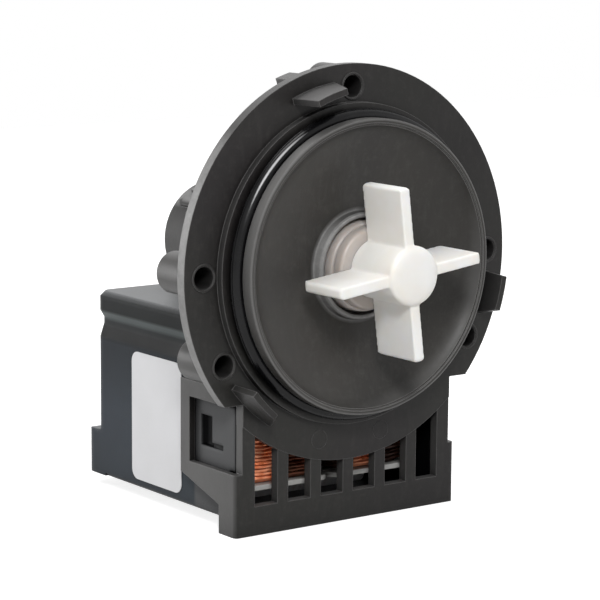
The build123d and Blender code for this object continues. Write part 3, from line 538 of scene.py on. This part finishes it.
def wireLacquer():
    # enamelled copper: the colour drifts from turn to turn, and painted shade darkens the stretches outside a few lit
    # places
    look = {
        "deep": (0.66, 0.110, 0.036), "mid": (0.97, 0.25, 0.085), "bright": (1.0, 0.51, 0.31), "brightShare": 0.7,
        "turnScale": (60, 60, 1300), "patchScale": 300, "skinScale": 1800, "smooth": 0.24, "rough": 0.42,
        "coilShade": (0.020, 0.007, 0.004), "coilShadeShare": 0.99, "ragged": 3, "raggedScale": 260,
        # lit places, where the painted shade is lifted: x of the middle, half width, width of its fading edge, share
        "litPlaces": ((-18.8, 4.4, 1.8, 1.0), (-8.6, 2.2, 1.6, 0.14), (8.6, 2.2, 1.4, 0.75)),
    }
    finish = Finish("wireLacquer", {"IOR": 1.55, "Specular IOR Level": 0.16, "Metallic": 0.3})
    turns = finish.between(finish.noise(1.0, 2.0, 0.5, finish.stretched(look["turnScale"])), 0.3, 0.7)
    patches = finish.between(finish.noise(look["patchScale"], 2.0), 0.35, 0.65)
    colour = finish.blend(turns, look["deep"], look["mid"])
    colour = finish.blend(patches * look["brightShare"], colour, look["bright"])
    ragged = finish.along("X") + (finish.noise(look["raggedScale"], 3.0) - 0.5) * (look["ragged"] * mm)
    # painted shade over the turns, lifted in the lit places
    litShare = 0
    for middle, half, fade, share in look["litPlaces"]:
        away = finish.apart(ragged, middle * mm)
        litShare = finish.between(away, half * mm, (half + fade) * mm, share, 0.0) + litShare
    finish.feed(
        BaseColor=finish.blend((1 - litShare) * look["coilShadeShare"], colour, look["coilShade"]),
        Roughness=finish.between(patches, 0.0, 1.0, look["smooth"], look["rough"]),
        Normal=finish.bumped(finish.noise(look["skinScale"], 1.0), 0.02, 0.2),
    )
    return finish.material


def sheetSteel():
    # the sheets of the stack lie square to the rotor axis
    look = {
        "bright": (0.42, 0.42, 0.43), "gap": (0.10, 0.09, 0.085), "rust": (0.20, 0.11, 0.06), "rustShare": 0.5,
        "rustScale": 260, "sheetsPerMetre": 2000, "gapWidth": 0.14, "smooth": 0.36, "rough": 0.6,
    }
    finish = Finish("sheetSteel", {"Metallic": 0.9, "IOR": 2.0})
    sheets = finish.along("Y") * look["sheetsPerMetre"]
    wave = finish.node("ShaderNodeMath", {"operation": "PINGPONG"}, {0: sheets, 1: 0.5}, 0)
    gap = finish.between(wave, 0.0, look["gapWidth"], 1.0, 0.0)
    patches = finish.between(finish.noise(look["rustScale"], 4.0, 0.6), 0.55, 0.75)
    colour = finish.blend(gap, look["bright"], look["gap"])
    finish.feed(
        BaseColor=finish.blend(patches * look["rustShare"], colour, look["rust"]),
        Roughness=finish.between(patches, 0.0, 1.0, look["smooth"], look["rough"]),
        Normal=finish.bumped(1 - gap, 0.05, 0.4),
    )
    return finish.material


# what every turned metal shares
turning = {
    "lineSpan": (0.2, 1.2), "spotSpan": (0.5, 0.75), "smoother": 0.08, "rougher": 0.12, "edgeRound": 0.12,
    "lineDepth": 0.02, "lineStrength": 0.25,
}


def turnedMetal(name, look):
    # rings left by turning, fine scratches and a little tarnish
    finish = Finish(name, {"Metallic": look["metallic"]})
    lines = finish.noise(1.0, 3.0, 0.6, finish.stretched(look["stretch"]))
    spots = finish.between(finish.noise(look["spotScale"], 4.0, 0.6), *turning["spotSpan"])
    smooth, rough = look["roughness"] - turning["smoother"], look["roughness"] + turning["rougher"]
    soft = finish.softEdges(turning["edgeRound"])
    finish.feed(
        BaseColor=finish.blend(spots * look["spotShare"], look["colour"], look["spot"]),
        Roughness=finish.between(lines + spots * 0.5, *turning["lineSpan"], smooth, rough),
        Normal=finish.bumped(lines, turning["lineDepth"], turning["lineStrength"], soft),
    )
    return finish.material


shaftLook = {
    "colour": (0.60, 0.60, 0.60), "spot": (0.40, 0.39, 0.38), "metallic": 1.0, "roughness": 0.22,
    "stretch": (60, 2500, 60), "spotScale": 400, "spotShare": 0.3,
}
bronzeLook = {
    "colour": (0.48, 0.32, 0.16), "spot": (0.24, 0.15, 0.08), "metallic": 0.9, "roughness": 0.42,
    "stretch": (2500, 2500, 2500), "spotScale": 1200, "spotShare": 0.6,
}
ferriteLook = {
    "colour": (0.055, 0.055, 0.058), "spot": (0.03, 0.03, 0.03), "metallic": 0.3, "roughness": 0.5,
    "stretch": (900, 900, 120), "spotScale": 500, "spotShare": 0.5,
}
brassLook = {
    "colour": (0.78, 0.66, 0.40), "spot": (0.50, 0.38, 0.20), "metallic": 1.0, "roughness": 0.28,
    "stretch": (900, 60, 900), "spotScale": 350, "spotShare": 0.35,
}
shaftSteel = turnedMetal("shaftSteel", shaftLook)
bearingBronze = turnedMetal("bearingBronze", bronzeLook)
magnetFerrite = turnedMetal("magnetFerrite", ferriteLook)
terminalBrass = turnedMetal("terminalBrass", brassLook)


def labelFilm():
    # bare white film with a fine fibre, laid on with faint waves
    look = {
        "white": (0.58, 0.58, 0.595), "shade": (0.53, 0.53, 0.54), "fibreShare": 0.3, "fibreScale": 1600,
        "waveScale": 70, "waveDepth": 0.25, "waveStrength": 0.3, "smooth": 0.33, "rough": 0.46,
    }
    finish = Finish("labelFilm", {"IOR": 1.48, "Coat Weight": 0.25, "Coat Roughness": 0.2})
    waves = finish.noise(look["waveScale"], 2.0)
    fibre = finish.noise(look["fibreScale"], 3.0, 0.6)
    paler = finish.between(waves + fibre * look["fibreShare"], 0.4, 0.9)
    finish.feed(
        BaseColor=finish.blend(paler, look["shade"], look["white"]),
        Roughness=finish.between(fibre, 0.2, 0.8, look["smooth"], look["rough"]),
        Normal=finish.bumped(waves, look["waveDepth"], look["waveStrength"]),
    )
    return finish.material


rubber = sealRubber()
copper = wireLacquer()
lamination = sheetSteel()
film = labelFilm()

cadFinishes = {
    "pump_housing": housingPlastic, "chamber_dish": dishPlastic, "rotor_can": canPlastic,
    "rear_cover": coverPlastic, "rating_label": film, "flange_o_ring": rubber, "stop_pads": rubber,
    "impeller": impellerPlastic, "impeller_foot": footPlastic, "drive_dog": couplingPlastic,
    "front_bearing": bearingBronze, "rear_bearing": bearingBronze, "rotor_shaft": shaftSteel,
    "rotor_magnet": magnetFerrite, "stator_yoke": lamination, "left_pole": lamination,
    "right_pole": lamination, "left_bobbin": bobbinPlastic, "right_bobbin": bobbinPlastic,
    "left_winding": copper, "right_winding": copper, "left_winding_core": copper,
    "right_winding_core": copper, "left_terminal": terminalBrass, "right_terminal": terminalBrass,
}
for name, finish in cadFinishes.items():
    for slot in nodes[name].material_slots:
        slot.material = finish
print("finishes on the packed nodes:", len(cadFinishes))


def dressed(piece, finish, body, slotName, *replaced):
    piece.data.materials.clear()
    piece.data.materials.append(finish)
    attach(piece, body)
    if replaced:
        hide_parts(*replaced)


# chamber dish, with its lipped rim and a bowl that curves down to the collar
dish = {
    "rimRadius": 32.6, "rimFront": -8.0, "rimBack": -5.0, "flatWidth": 1.05, "lipDrop": 0.35, "lipRadius": 31.1,
    "collarRadius": 12.0, "collarInner": 10.7, "collarFront": -4.9, "collarSkirt": 0.4,
    "bowlFloor": -2.6, "bowlRise": 3.75, "bowlPower": 1.5, "lipPower": 14, "bowlRings": 18, "ringCrowding": 1.8,
    "wellFloor": -1.0, "plugRadius": 31.3, "plugBack": 2.55, "wall": 2.2, "back": 0.6, "hubRadius": 11.45,
    "hubEnd": 10.1, "bushRadius": 4.85, "bushSeat": 3.6, "holeRadius": 2.7,
    "rimRounds": (0.4, 0.12, 0.1, 0.15), "collarRounds": (0.3, 0.8, 0.35), "facets": 192,
}


def chamberDish():
    # the bowl rises slowly and then turns up into the lip, with its rings closer together there
    d = dish
    bowl = []
    bowlStart = d["collarRadius"] + d["collarSkirt"]
    lipFront = d["rimFront"] + d["lipDrop"]
    lipRise = d["bowlFloor"] - lipFront - d["bowlRise"]
    for ring in range(d["bowlRings"]):
        share = 1 - (1 - ring / d["bowlRings"]) ** d["ringCrowding"]
        rise = d["bowlRise"] * share ** d["bowlPower"] + lipRise * share ** d["lipPower"]
        bowl.append((bowlStart + share * (d["lipRadius"] - bowlStart), d["bowlFloor"] - rise))
    flatRadius, plugInner = d["rimRadius"] - d["flatWidth"], d["plugRadius"] - d["wall"]
    stations = [
        (d["holeRadius"], d["wellFloor"]), (d["collarInner"], d["wellFloor"]),
        (d["collarInner"], d["collarFront"]), (d["collarRadius"], d["collarFront"]),
        (d["collarRadius"], d["bowlFloor"]), *bowl, (d["lipRadius"], lipFront), (flatRadius, lipFront),
        (flatRadius, d["rimFront"]), (d["rimRadius"], d["rimFront"]), (d["rimRadius"], d["rimBack"]),
        (d["plugRadius"], d["rimBack"]), (d["plugRadius"], d["plugBack"]), (plugInner, d["plugBack"]),
        (plugInner, d["back"]), (d["hubRadius"], d["back"]), (d["hubRadius"], d["hubEnd"]),
        (d["bushRadius"], d["hubEnd"]), (d["bushRadius"], d["bushSeat"]), (d["holeRadius"], d["bushSeat"]),
    ]
    rim = stations.index((d["rimRadius"], d["rimFront"]))
    collar = stations.index((d["collarInner"], d["collarFront"]))
    rounded = (
        *zip((rim, rim - 1, rim - 2, rim + 1), d["rimRounds"]),
        *zip((collar, collar + 1, collar + 2), d["collarRounds"]),
    )
    return turned("chamberDish", stations, d["facets"], rounded, angle=28)


dressed(chamberDish(), dishPlastic, "housing", "dish_plastic", "chamber_dish")
print("chamber dish turned")


# seal ring, with the fine parting line that its mould leaves
ring = {
    "radius": 32.85, "section": 1.5, "y": -3.4, "flash": 0.05, "flashWidth": 0.08, "facets": 192, "sectionFacets": 32,
}


def flangeSeal():
    deselectAll()
    bpy.ops.mesh.primitive_torus_add(
        major_radius=ring["radius"] * mm, minor_radius=ring["section"] * mm, major_segments=ring["facets"],
        minor_segments=ring["sectionFacets"], location=(0, ring["y"] * mm, 0), rotation=(pi / 2, 0, 0),
    )
    piece = bpy.context.object
    applyPlace()
    equator = (ring["radius"] + ring["section"], ring["y"])
    pickEdges(piece, lambda a, b: onRing(a, b, (0, 0), equator))
    bpy.ops.mesh.bevel(offset=ring["flashWidth"] * mm, segments=2, profile=0.5, affect="EDGES")
    pickEdges(piece, lambda a, b: onRing(a, b, (0, 0), equator))
    share = 1 + ring["flash"] / equator[0]
    bpy.ops.transform.resize(value=(share, 1, share), center_override=(0, ring["y"] * mm, 0))
    bpy.ops.object.mode_set(mode="OBJECT")
    return settled(piece, "flangeSeal", angle=40)


dressed(flangeSeal(), rubber, "housing", "seal_rubber", "flange_o_ring")
print("seal ring made")


# impeller: hub, blades and coupling stop grown together, then softened as the moulding is
wheel = {
    "radius": 19.15, "back": -8.5, "front": -21.8, "bladeWidth": 2.5, "bladeCount": 4, "startAngle": 7.3,
    "hubRadius": 6.5, "bladeRoot": 5.7, "domeRise": 1.6, "domeRings": 6, "domePower": 0.45, "cavityRadius": 5.2,
    "cavityFront": -18.2, "tipBevel": 0.5, "stopRadius": 3.6, "stopHalfAngle": 62, "stopOverlap": 0.6,
    "stopSteps": 24, "axisRadius": 0.05, "hubFacets": 96, "grid": 0.23, "softening": 0.5, "softenings": 5,
}


def blade(number):
    w = wheel
    middle = ((w["bladeRoot"] + w["radius"]) / 2, (w["back"] + w["front"]) / 2, 0)
    piece = boxAt(middle, (w["radius"] - w["bladeRoot"], w["back"] - w["front"], w["bladeWidth"]))
    pickEdges(piece, lambda a, b: min(a.x, b.x) > middle[0] * mm)
    bpy.ops.mesh.bevel(offset=w["tipBevel"] * mm, segments=1, affect="EDGES")
    bpy.ops.object.mode_set(mode="OBJECT")
    swing(piece, w["startAngle"] + number * 360 / w["bladeCount"])
    return piece


def couplingStop():
    # a small plate is spun round the axis inside the hub
    w = wheel
    inner, outer = w["stopRadius"], (w["cavityRadius"] + w["hubRadius"]) / 2
    deselectAll()
    bpy.ops.mesh.primitive_plane_add(size=1, location=(0, 0, 0))
    piece = bpy.context.object
    piece.scale = Vector((outer - inner, w["back"] - w["cavityFront"] + w["stopOverlap"], 1)) * mm
    piece.location = Vector(((inner + outer) / 2, (w["back"] + w["cavityFront"] - w["stopOverlap"]) / 2, 0)) * mm
    applyPlace()
    swing(piece, w["startAngle"] - w["stopHalfAngle"])
    applyPlace()
    bpy.ops.object.mode_set(mode="EDIT")
    bpy.ops.mesh.select_all(action="SELECT")
    sweep = -radians(2 * w["stopHalfAngle"])
    bpy.ops.mesh.spin(steps=w["stopSteps"], angle=sweep, center=(0, 0, 0), axis=(0, 1, 0))
    bpy.ops.object.mode_set(mode="OBJECT")
    return settled(piece, "couplingStop")


def impellerWheel():
    w = wheel
    dome = []
    for number in range(w["domeRings"]):
        turn = number / w["domeRings"] * pi / 2
        dome.append((w["hubRadius"] * cos(turn) ** w["domePower"], w["front"] - w["domeRise"] * sin(turn)))
    stations = [
        (w["axisRadius"], w["cavityFront"]), (w["cavityRadius"], w["cavityFront"]), (w["cavityRadius"], w["back"]),
        (w["hubRadius"], w["back"]), *dome, (w["axisRadius"], w["front"] - w["domeRise"]),
    ]
    hub = turned("hub", stations, w["hubFacets"], closed=False)
    piece = joined([hub, couplingStop(), *[blade(number) for number in range(w["bladeCount"])]])
    applyPlace()
    applied(piece, "REMESH", mode="VOXEL", voxel_size=w["grid"] * mm)
    applied(piece, "SMOOTH", factor=w["softening"], iterations=w["softenings"])
    return settled(piece, "impellerWheel", angle=180)


dressed(impellerWheel(), impellerPlastic, "impeller", "impeller_plastic", "impeller")
print("impeller made")


# stepped foot of the impeller: each step has its radius and the y of its back
foot = {
    "steps": ((10.2, -1.6), (9.4, -6.1)), "front": -8.5, "boreRadius": 2.05, "draft": 0.35,
    "rounded": ((2, 0.6), (3, 0.3), (4, 0.6)), "facets": 128,
}


def steppedFoot():
    f = foot
    ends = [back for radius, back in f["steps"][1:]] + [f["front"]]
    stations = [(f["boreRadius"], f["steps"][0][1])]
    for (radius, back), end in zip(f["steps"], ends):
        stations += [(radius, back), (radius - f["draft"], end)]
    stations.append((f["boreRadius"], f["front"]))
    return turned("steppedFoot", stations, f["facets"], f["rounded"], angle=30)


dressed(steppedFoot(), footPlastic, "impeller", "impeller_plastic", "impeller_foot")
print("stepped foot turned")


# rotor can: flange, tube with pointed ribs on its back, and the tail with its mould mark
can = {
    "innerRadius": 11.5, "flangeFront": 1.0, "flangeRadius": 19.0, "flangeBack": 2.6, "radius": 13.2, "end": 55.0,
    "bushRadius": 4.85, "bushFront": 42.5, "bushEnd": 49.3, "markRadius": 4.0, "markDepth": 0.4, "markSlope": 0.3,
    "axisRadius": 0.05, "rounded": ((8, 0.5), (7, 0.5), (6, 0.2)), "facets": 128,
    "ribAngles": (43, 61, 119, 137), "ribWidth": 2.7, "ribFoot": 12.9, "ribTop": 14.0, "ribFront": 40.0,
    "ribShoulder": 51.2, "ribTip": 53.4, "ribPoint": (0.6, 1, 0.12), "ribBevel": 0.2,
}


def tailRib(angle):
    # a flat rib along the tube that runs to a point near the tail
    c = can
    middleX, middleY = (c["ribFoot"] + c["ribTop"]) / 2, (c["ribFront"] + c["ribShoulder"]) / 2
    size = (c["ribTop"] - c["ribFoot"], c["ribShoulder"] - c["ribFront"], c["ribWidth"])
    piece = boxAt((middleX, middleY, 0), size)
    pickEdges(piece, lambda a, b: min(a.y, b.y) > middleY * mm)
    pull = (0, (c["ribTip"] - c["ribShoulder"]) * mm, 0)
    bpy.ops.mesh.extrude_region_move(TRANSFORM_OT_translate={"value": pull})
    bpy.ops.transform.resize(value=c["ribPoint"], center_override=Vector((c["ribFoot"], c["ribTip"], 0)) * mm)
    pickEdges(piece, lambda a, b: min(a.x, b.x) > middleX * mm and abs(a.y - b.y) > mm)
    bpy.ops.mesh.bevel(offset=c["ribBevel"] * mm, segments=2, affect="EDGES")
    bpy.ops.object.mode_set(mode="OBJECT")
    swing(piece, angle)
    applyPlace()
    return piece


def canShell():
    c = can
    stations = [
        (c["axisRadius"], c["bushEnd"]), (c["bushRadius"], c["bushEnd"]), (c["bushRadius"], c["bushFront"]),
        (c["innerRadius"], c["bushFront"]), (c["innerRadius"], c["flangeFront"]),
        (c["flangeRadius"], c["flangeFront"]), (c["flangeRadius"], c["flangeBack"]),
        (c["radius"], c["flangeBack"]), (c["radius"], c["end"]), (c["markRadius"], c["end"]),
        (c["markRadius"] - c["markSlope"], c["end"] - c["markDepth"]), (c["axisRadius"], c["end"] - c["markDepth"]),
    ]
    shell = turned("canShell", stations, c["facets"], c["rounded"], closed=False, angle=30)
    return settled(joined([shell, *[tailRib(angle) for angle in c["ribAngles"]]]), "canShell", angle=30)


dressed(canShell(), canPlastic, "housing", "dish_plastic", "rotor_can")
print("rotor can turned")


# windings: two layers of lacquered wire, wound a little unevenly over a plain body
winding = {
    "centreX": 12.4, "centreY": 26.3, "halfX": 11.4, "halfY": 19.5, "bottom": -48.6, "top": -20.6, "wire": 0.74,
    "pitch": 0.83, "corner": 5.2, "wander": 0.17, "layerDepths": (0.0, 0.66), "cornerPoints": 6, "sidePoints": 7,
    "bodyInset": 1.75, "tubeHalfX": 4.55, "bodyCornerSteps": 5,
}


def turnPoints(half, corner, random):
    # one turn as seen from above, anticlockwise, as offsets from the coil's centre with a little unevenness
    def onCorner(x, y, degrees):
        signX, signY = (1 if x > 0 else -1), (1 if y > 0 else -1)
        angle = radians(degrees)
        return Vector((x - signX * corner + corner * cos(angle), y - signY * corner + corner * sin(angle), 0))

    halfX, halfY = half
    points = []
    corners = ((halfX, halfY, 0), (-halfX, halfY, 90), (-halfX, -halfY, 180), (halfX, -halfY, 270))
    for index, (x, y, start) in enumerate(corners):
        for step in range(winding["cornerPoints"]):
            points.append(onCorner(x, y, start + 90 * step / (winding["cornerPoints"] - 1)))
        begin, end = points[-1], onCorner(*corners[(index + 1) % 4])
        for step in range(1, winding["sidePoints"]):
            points.append(begin.lerp(end, step / winding["sidePoints"]))
    for point in points:
        inward = winding["wander"] * random.random()
        point *= 1 - inward / max(abs(point.x), abs(point.y))
        point.z = winding["wander"] * (random.random() - 0.5)
    return points


def layerPoints(side, depth, random):
    # the turns of one layer, climbing evenly from the lower flange to the upper one
    w = winding
    inset = w["wire"] / 2
    half = (w["halfX"] - inset - depth, w["halfY"] - inset - depth)
    low, high = w["bottom"] + inset + w["wander"], w["top"] - inset - w["wander"]
    turnCount = int((high - low) / w["pitch"])
    rise = (high - low) / turnCount
    points = []
    for turn in range(turnCount):
        loop = turnPoints(half, w["corner"], random)
        for index, point in enumerate(loop):
            height = low + (turn + index / len(loop)) * rise
            centre = Vector((side * w["centreX"], w["centreY"], height))
            points.append(centre + Vector((side * point.x, point.y, point.z)))
    return points


def woundWire(name, points):
    curve = bpy.data.curves.new(name, "CURVE")
    curve.dimensions = "3D"
    curve.bevel_depth = winding["wire"] / 2 * mm
    curve.bevel_resolution = 1
    curve.resolution_u = 1
    curve.use_fill_caps = True
    spline = curve.splines.new("POLY")
    spline.points.add(len(points) - 1)
    for target, point in zip(spline.points, points):
        target.co = (*(point * mm), 1)
    line = bpy.data.objects.new(name, curve)
    bpy.context.scene.collection.objects.link(line)
    makeActive(line)
    bpy.ops.object.convert(target="MESH")
    return bpy.context.object


def coilBody(side):
    # a ring drawn on a plane, pulled up between the bobbin's flanges
    w = winding
    halfX, halfY = w["halfX"] - w["bodyInset"], w["halfY"] - w["bodyInset"]
    middleX = side * w["centreX"]
    deselectAll()
    bpy.ops.mesh.primitive_plane_add(size=1, location=Vector((middleX, w["centreY"], w["bottom"])) * mm)
    piece = bpy.context.object
    piece.scale = Vector((2 * halfX, 2 * halfY, 1 / mm)) * mm
    applyPlace()
    bpy.ops.object.mode_set(mode="EDIT")
    bpy.ops.mesh.select_all(action="SELECT")
    bpy.ops.mesh.inset(thickness=(halfX - w["tubeHalfX"]) * mm)
    bpy.ops.mesh.delete(type="FACE")
    bpy.ops.mesh.select_all(action="SELECT")
    bpy.ops.mesh.extrude_region_move(TRANSFORM_OT_translate={"value": (0, 0, (w["top"] - w["bottom"]) * mm)})
    reach = (halfX + w["tubeHalfX"]) / 2 * mm
    pickEdges(piece, lambda a, b: abs(a.z - b.z) > mm and abs(a.x - middleX * mm) > reach)
    cornerWidth = (w["corner"] - w["bodyInset"]) * mm
    bpy.ops.mesh.bevel(offset=cornerWidth, segments=w["bodyCornerSteps"], affect="EDGES")
    bpy.ops.object.mode_set(mode="OBJECT")
    return piece


def coil(name, side, seed):
    random = Random(seed)
    layers = []
    for number, depth in enumerate(winding["layerDepths"]):
        layers.append(woundWire(f"{name}Line{number}", layerPoints(side, depth, random)))
    return settled(joined([coilBody(side), *layers]), name, angle=60)


for name, side, seed in (("leftCoil", -1, 11), ("rightCoil", 1, 29)):
    word = name.replace("Coil", "")
    dressed(coil(name, side, seed), copper, "housing", "winding_copper", f"{word}_winding", f"{word}_winding_core")
print("windings wound")


# small relief on the flange: raised rims round the screw holes, round mould marks and a peg behind it;
# each has its stations, and stands on a circle round the rotor axis
holeRims = {
    "name": "rim", "stations": ((2.5, 0.02), (2.62, -0.28), (3.0, -0.28), (3.12, 0.02)), "facets": 48,
    "rounded": ((1, 0.06), (2, 0.06)), "closed": True, "circle": 39.0, "angles": (0, 90, 180, 210, 330),
}
mouldMarks = {
    "name": "mark", "stations": ((2.0, 0.02), (2.05, -0.04), (2.15, -0.04), (2.2, 0.02)), "facets": 48,
    "rounded": (), "closed": True, "circle": 39.5, "angles": (258, 283),
}
backPeg = {
    "name": "peg", "stations": ((1.2, 2.5), (1.2, 9.0)), "facets": 24,
    "rounded": ((1, 0.3),), "closed": False, "circle": 36.5, "angles": (154,),
}


def flangeRelief():
    pieces = []
    for look in (holeRims, mouldMarks, backPeg):
        for angle in look["angles"]:
            centre = (look["circle"] * cos(radians(angle)), look["circle"] * sin(radians(angle)))
            settings = {key: look[key] for key in ("name", "stations", "facets", "rounded", "closed")}
            pieces.append(turned(**settings, centre=centre))
    return settled(joined(pieces), "flangeRims", angle=40)


dressed(flangeRelief(), housingPlastic, "housing", "housing_plastic")
print("raised rims made")


# floor, lamps and camera; lamps are placed in metres
stageLook = {
    "floorZ": -58.0, "floorSize": 1.7, "floorTone": 0.5, "tooth": 1.01, "toothScale": 30, "floorGlow": 0.80,
    "worldGlow": 0.30,
}
lamps = {
    "keyLamp": {"place": (-0.50, -0.78, 0.62), "energy": 7.1, "size": 0.22},
    "topLamp": {"place": (-0.12, 0.25, 0.95), "energy": 6.4, "size": 0.60},
    "backLamp": {"place": (-0.62, 0.74, 0.14), "energy": 3.8, "size": 0.42},
    "fillLamp": {"place": (0.85, -0.60, 0.25), "energy": 0.7, "size": 0.60},
}
view = {
    "azimuth": -36.28, "elevation": 9.31, "roll": 0.40, "target": (-13.78, 0, -6.90), "distance": 537.4,
    "lens": 148.3, "nearest": 0.01, "farthest": 20,
}


def floorFinish():
    finish = Finish("floorPaper", {"Roughness": 0.9, "Emission Strength": 1.0})
    tone, glow = stageLook["floorTone"], stageLook["floorGlow"]
    tooth = finish.between(finish.noise(stageLook["toothScale"], 3.0), 0.3, 0.7)
    finish.feed(
        BaseColor=finish.blend(tooth, (tone,) * 3, (tone * stageLook["tooth"],) * 3),
        EmissionColor=finish.blend(finish.seenDirectly(), (0, 0, 0), (glow,) * 3),
    )
    return finish.material


deselectAll()
bpy.ops.mesh.primitive_plane_add(size=stageLook["floorSize"], location=(0, 0, stageLook["floorZ"] * mm))
floor = bpy.context.object
floor.name = "floor"
floor.data.materials.append(floorFinish())

world = bpy.data.worlds.new("paleRoom")
world.use_nodes = True
bpy.context.scene.world = world
background = next(n for n in world.node_tree.nodes if n.type == "BACKGROUND")
room = NodeTree(world.node_tree)
strengths = {0: room.seenDirectly(), 2: stageLook["worldGlow"], 3: 1.0}
room.fill(background.inputs["Strength"], room.node("ShaderNodeMix", {"data_type": "FLOAT"}, strengths, 0))
room.fill(background.inputs["Color"], (1, 1, 1, 1))

for name, look in lamps.items():
    data = bpy.data.lights.new(name, "AREA")
    data.energy = look["energy"]
    data.size = look["size"]
    lamp = bpy.data.objects.new(name, data)
    bpy.context.scene.collection.objects.link(lamp)
    lamp.location = look["place"]
    lamp.rotation_mode = "QUATERNION"
    lamp.rotation_quaternion = (-Vector(look["place"])).to_track_quat("-Z", "Y")


def photoCamera():
    # built from the view's angles; the picture's middle looks at the target
    a, e, r = (radians(view[key]) for key in ("azimuth", "elevation", "roll"))
    back = Vector((sin(a) * cos(e), -cos(a) * cos(e), sin(e)))
    across = Vector((0, 0, 1)).cross(back).normalized()
    upward = back.cross(across)
    turnedAcross = cos(r) * across + sin(r) * upward
    turnedUpward = -sin(r) * across + cos(r) * upward
    data = bpy.data.cameras.new("camera")
    data.lens = view["lens"]
    data.clip_start, data.clip_end = view["nearest"], view["farthest"]
    camera = bpy.data.objects.new("camera", data)
    bpy.context.scene.collection.objects.link(camera)
    pose = Matrix((turnedAcross, turnedUpward, back)).transposed().to_4x4()
    pose.translation = (Vector(view["target"]) + back * view["distance"]) * mm
    camera.matrix_world = pose
    return camera


bpy.context.scene.camera = photoCamera()
bpy.context.scene.view_settings.view_transform = "Standard"
print("stage set")
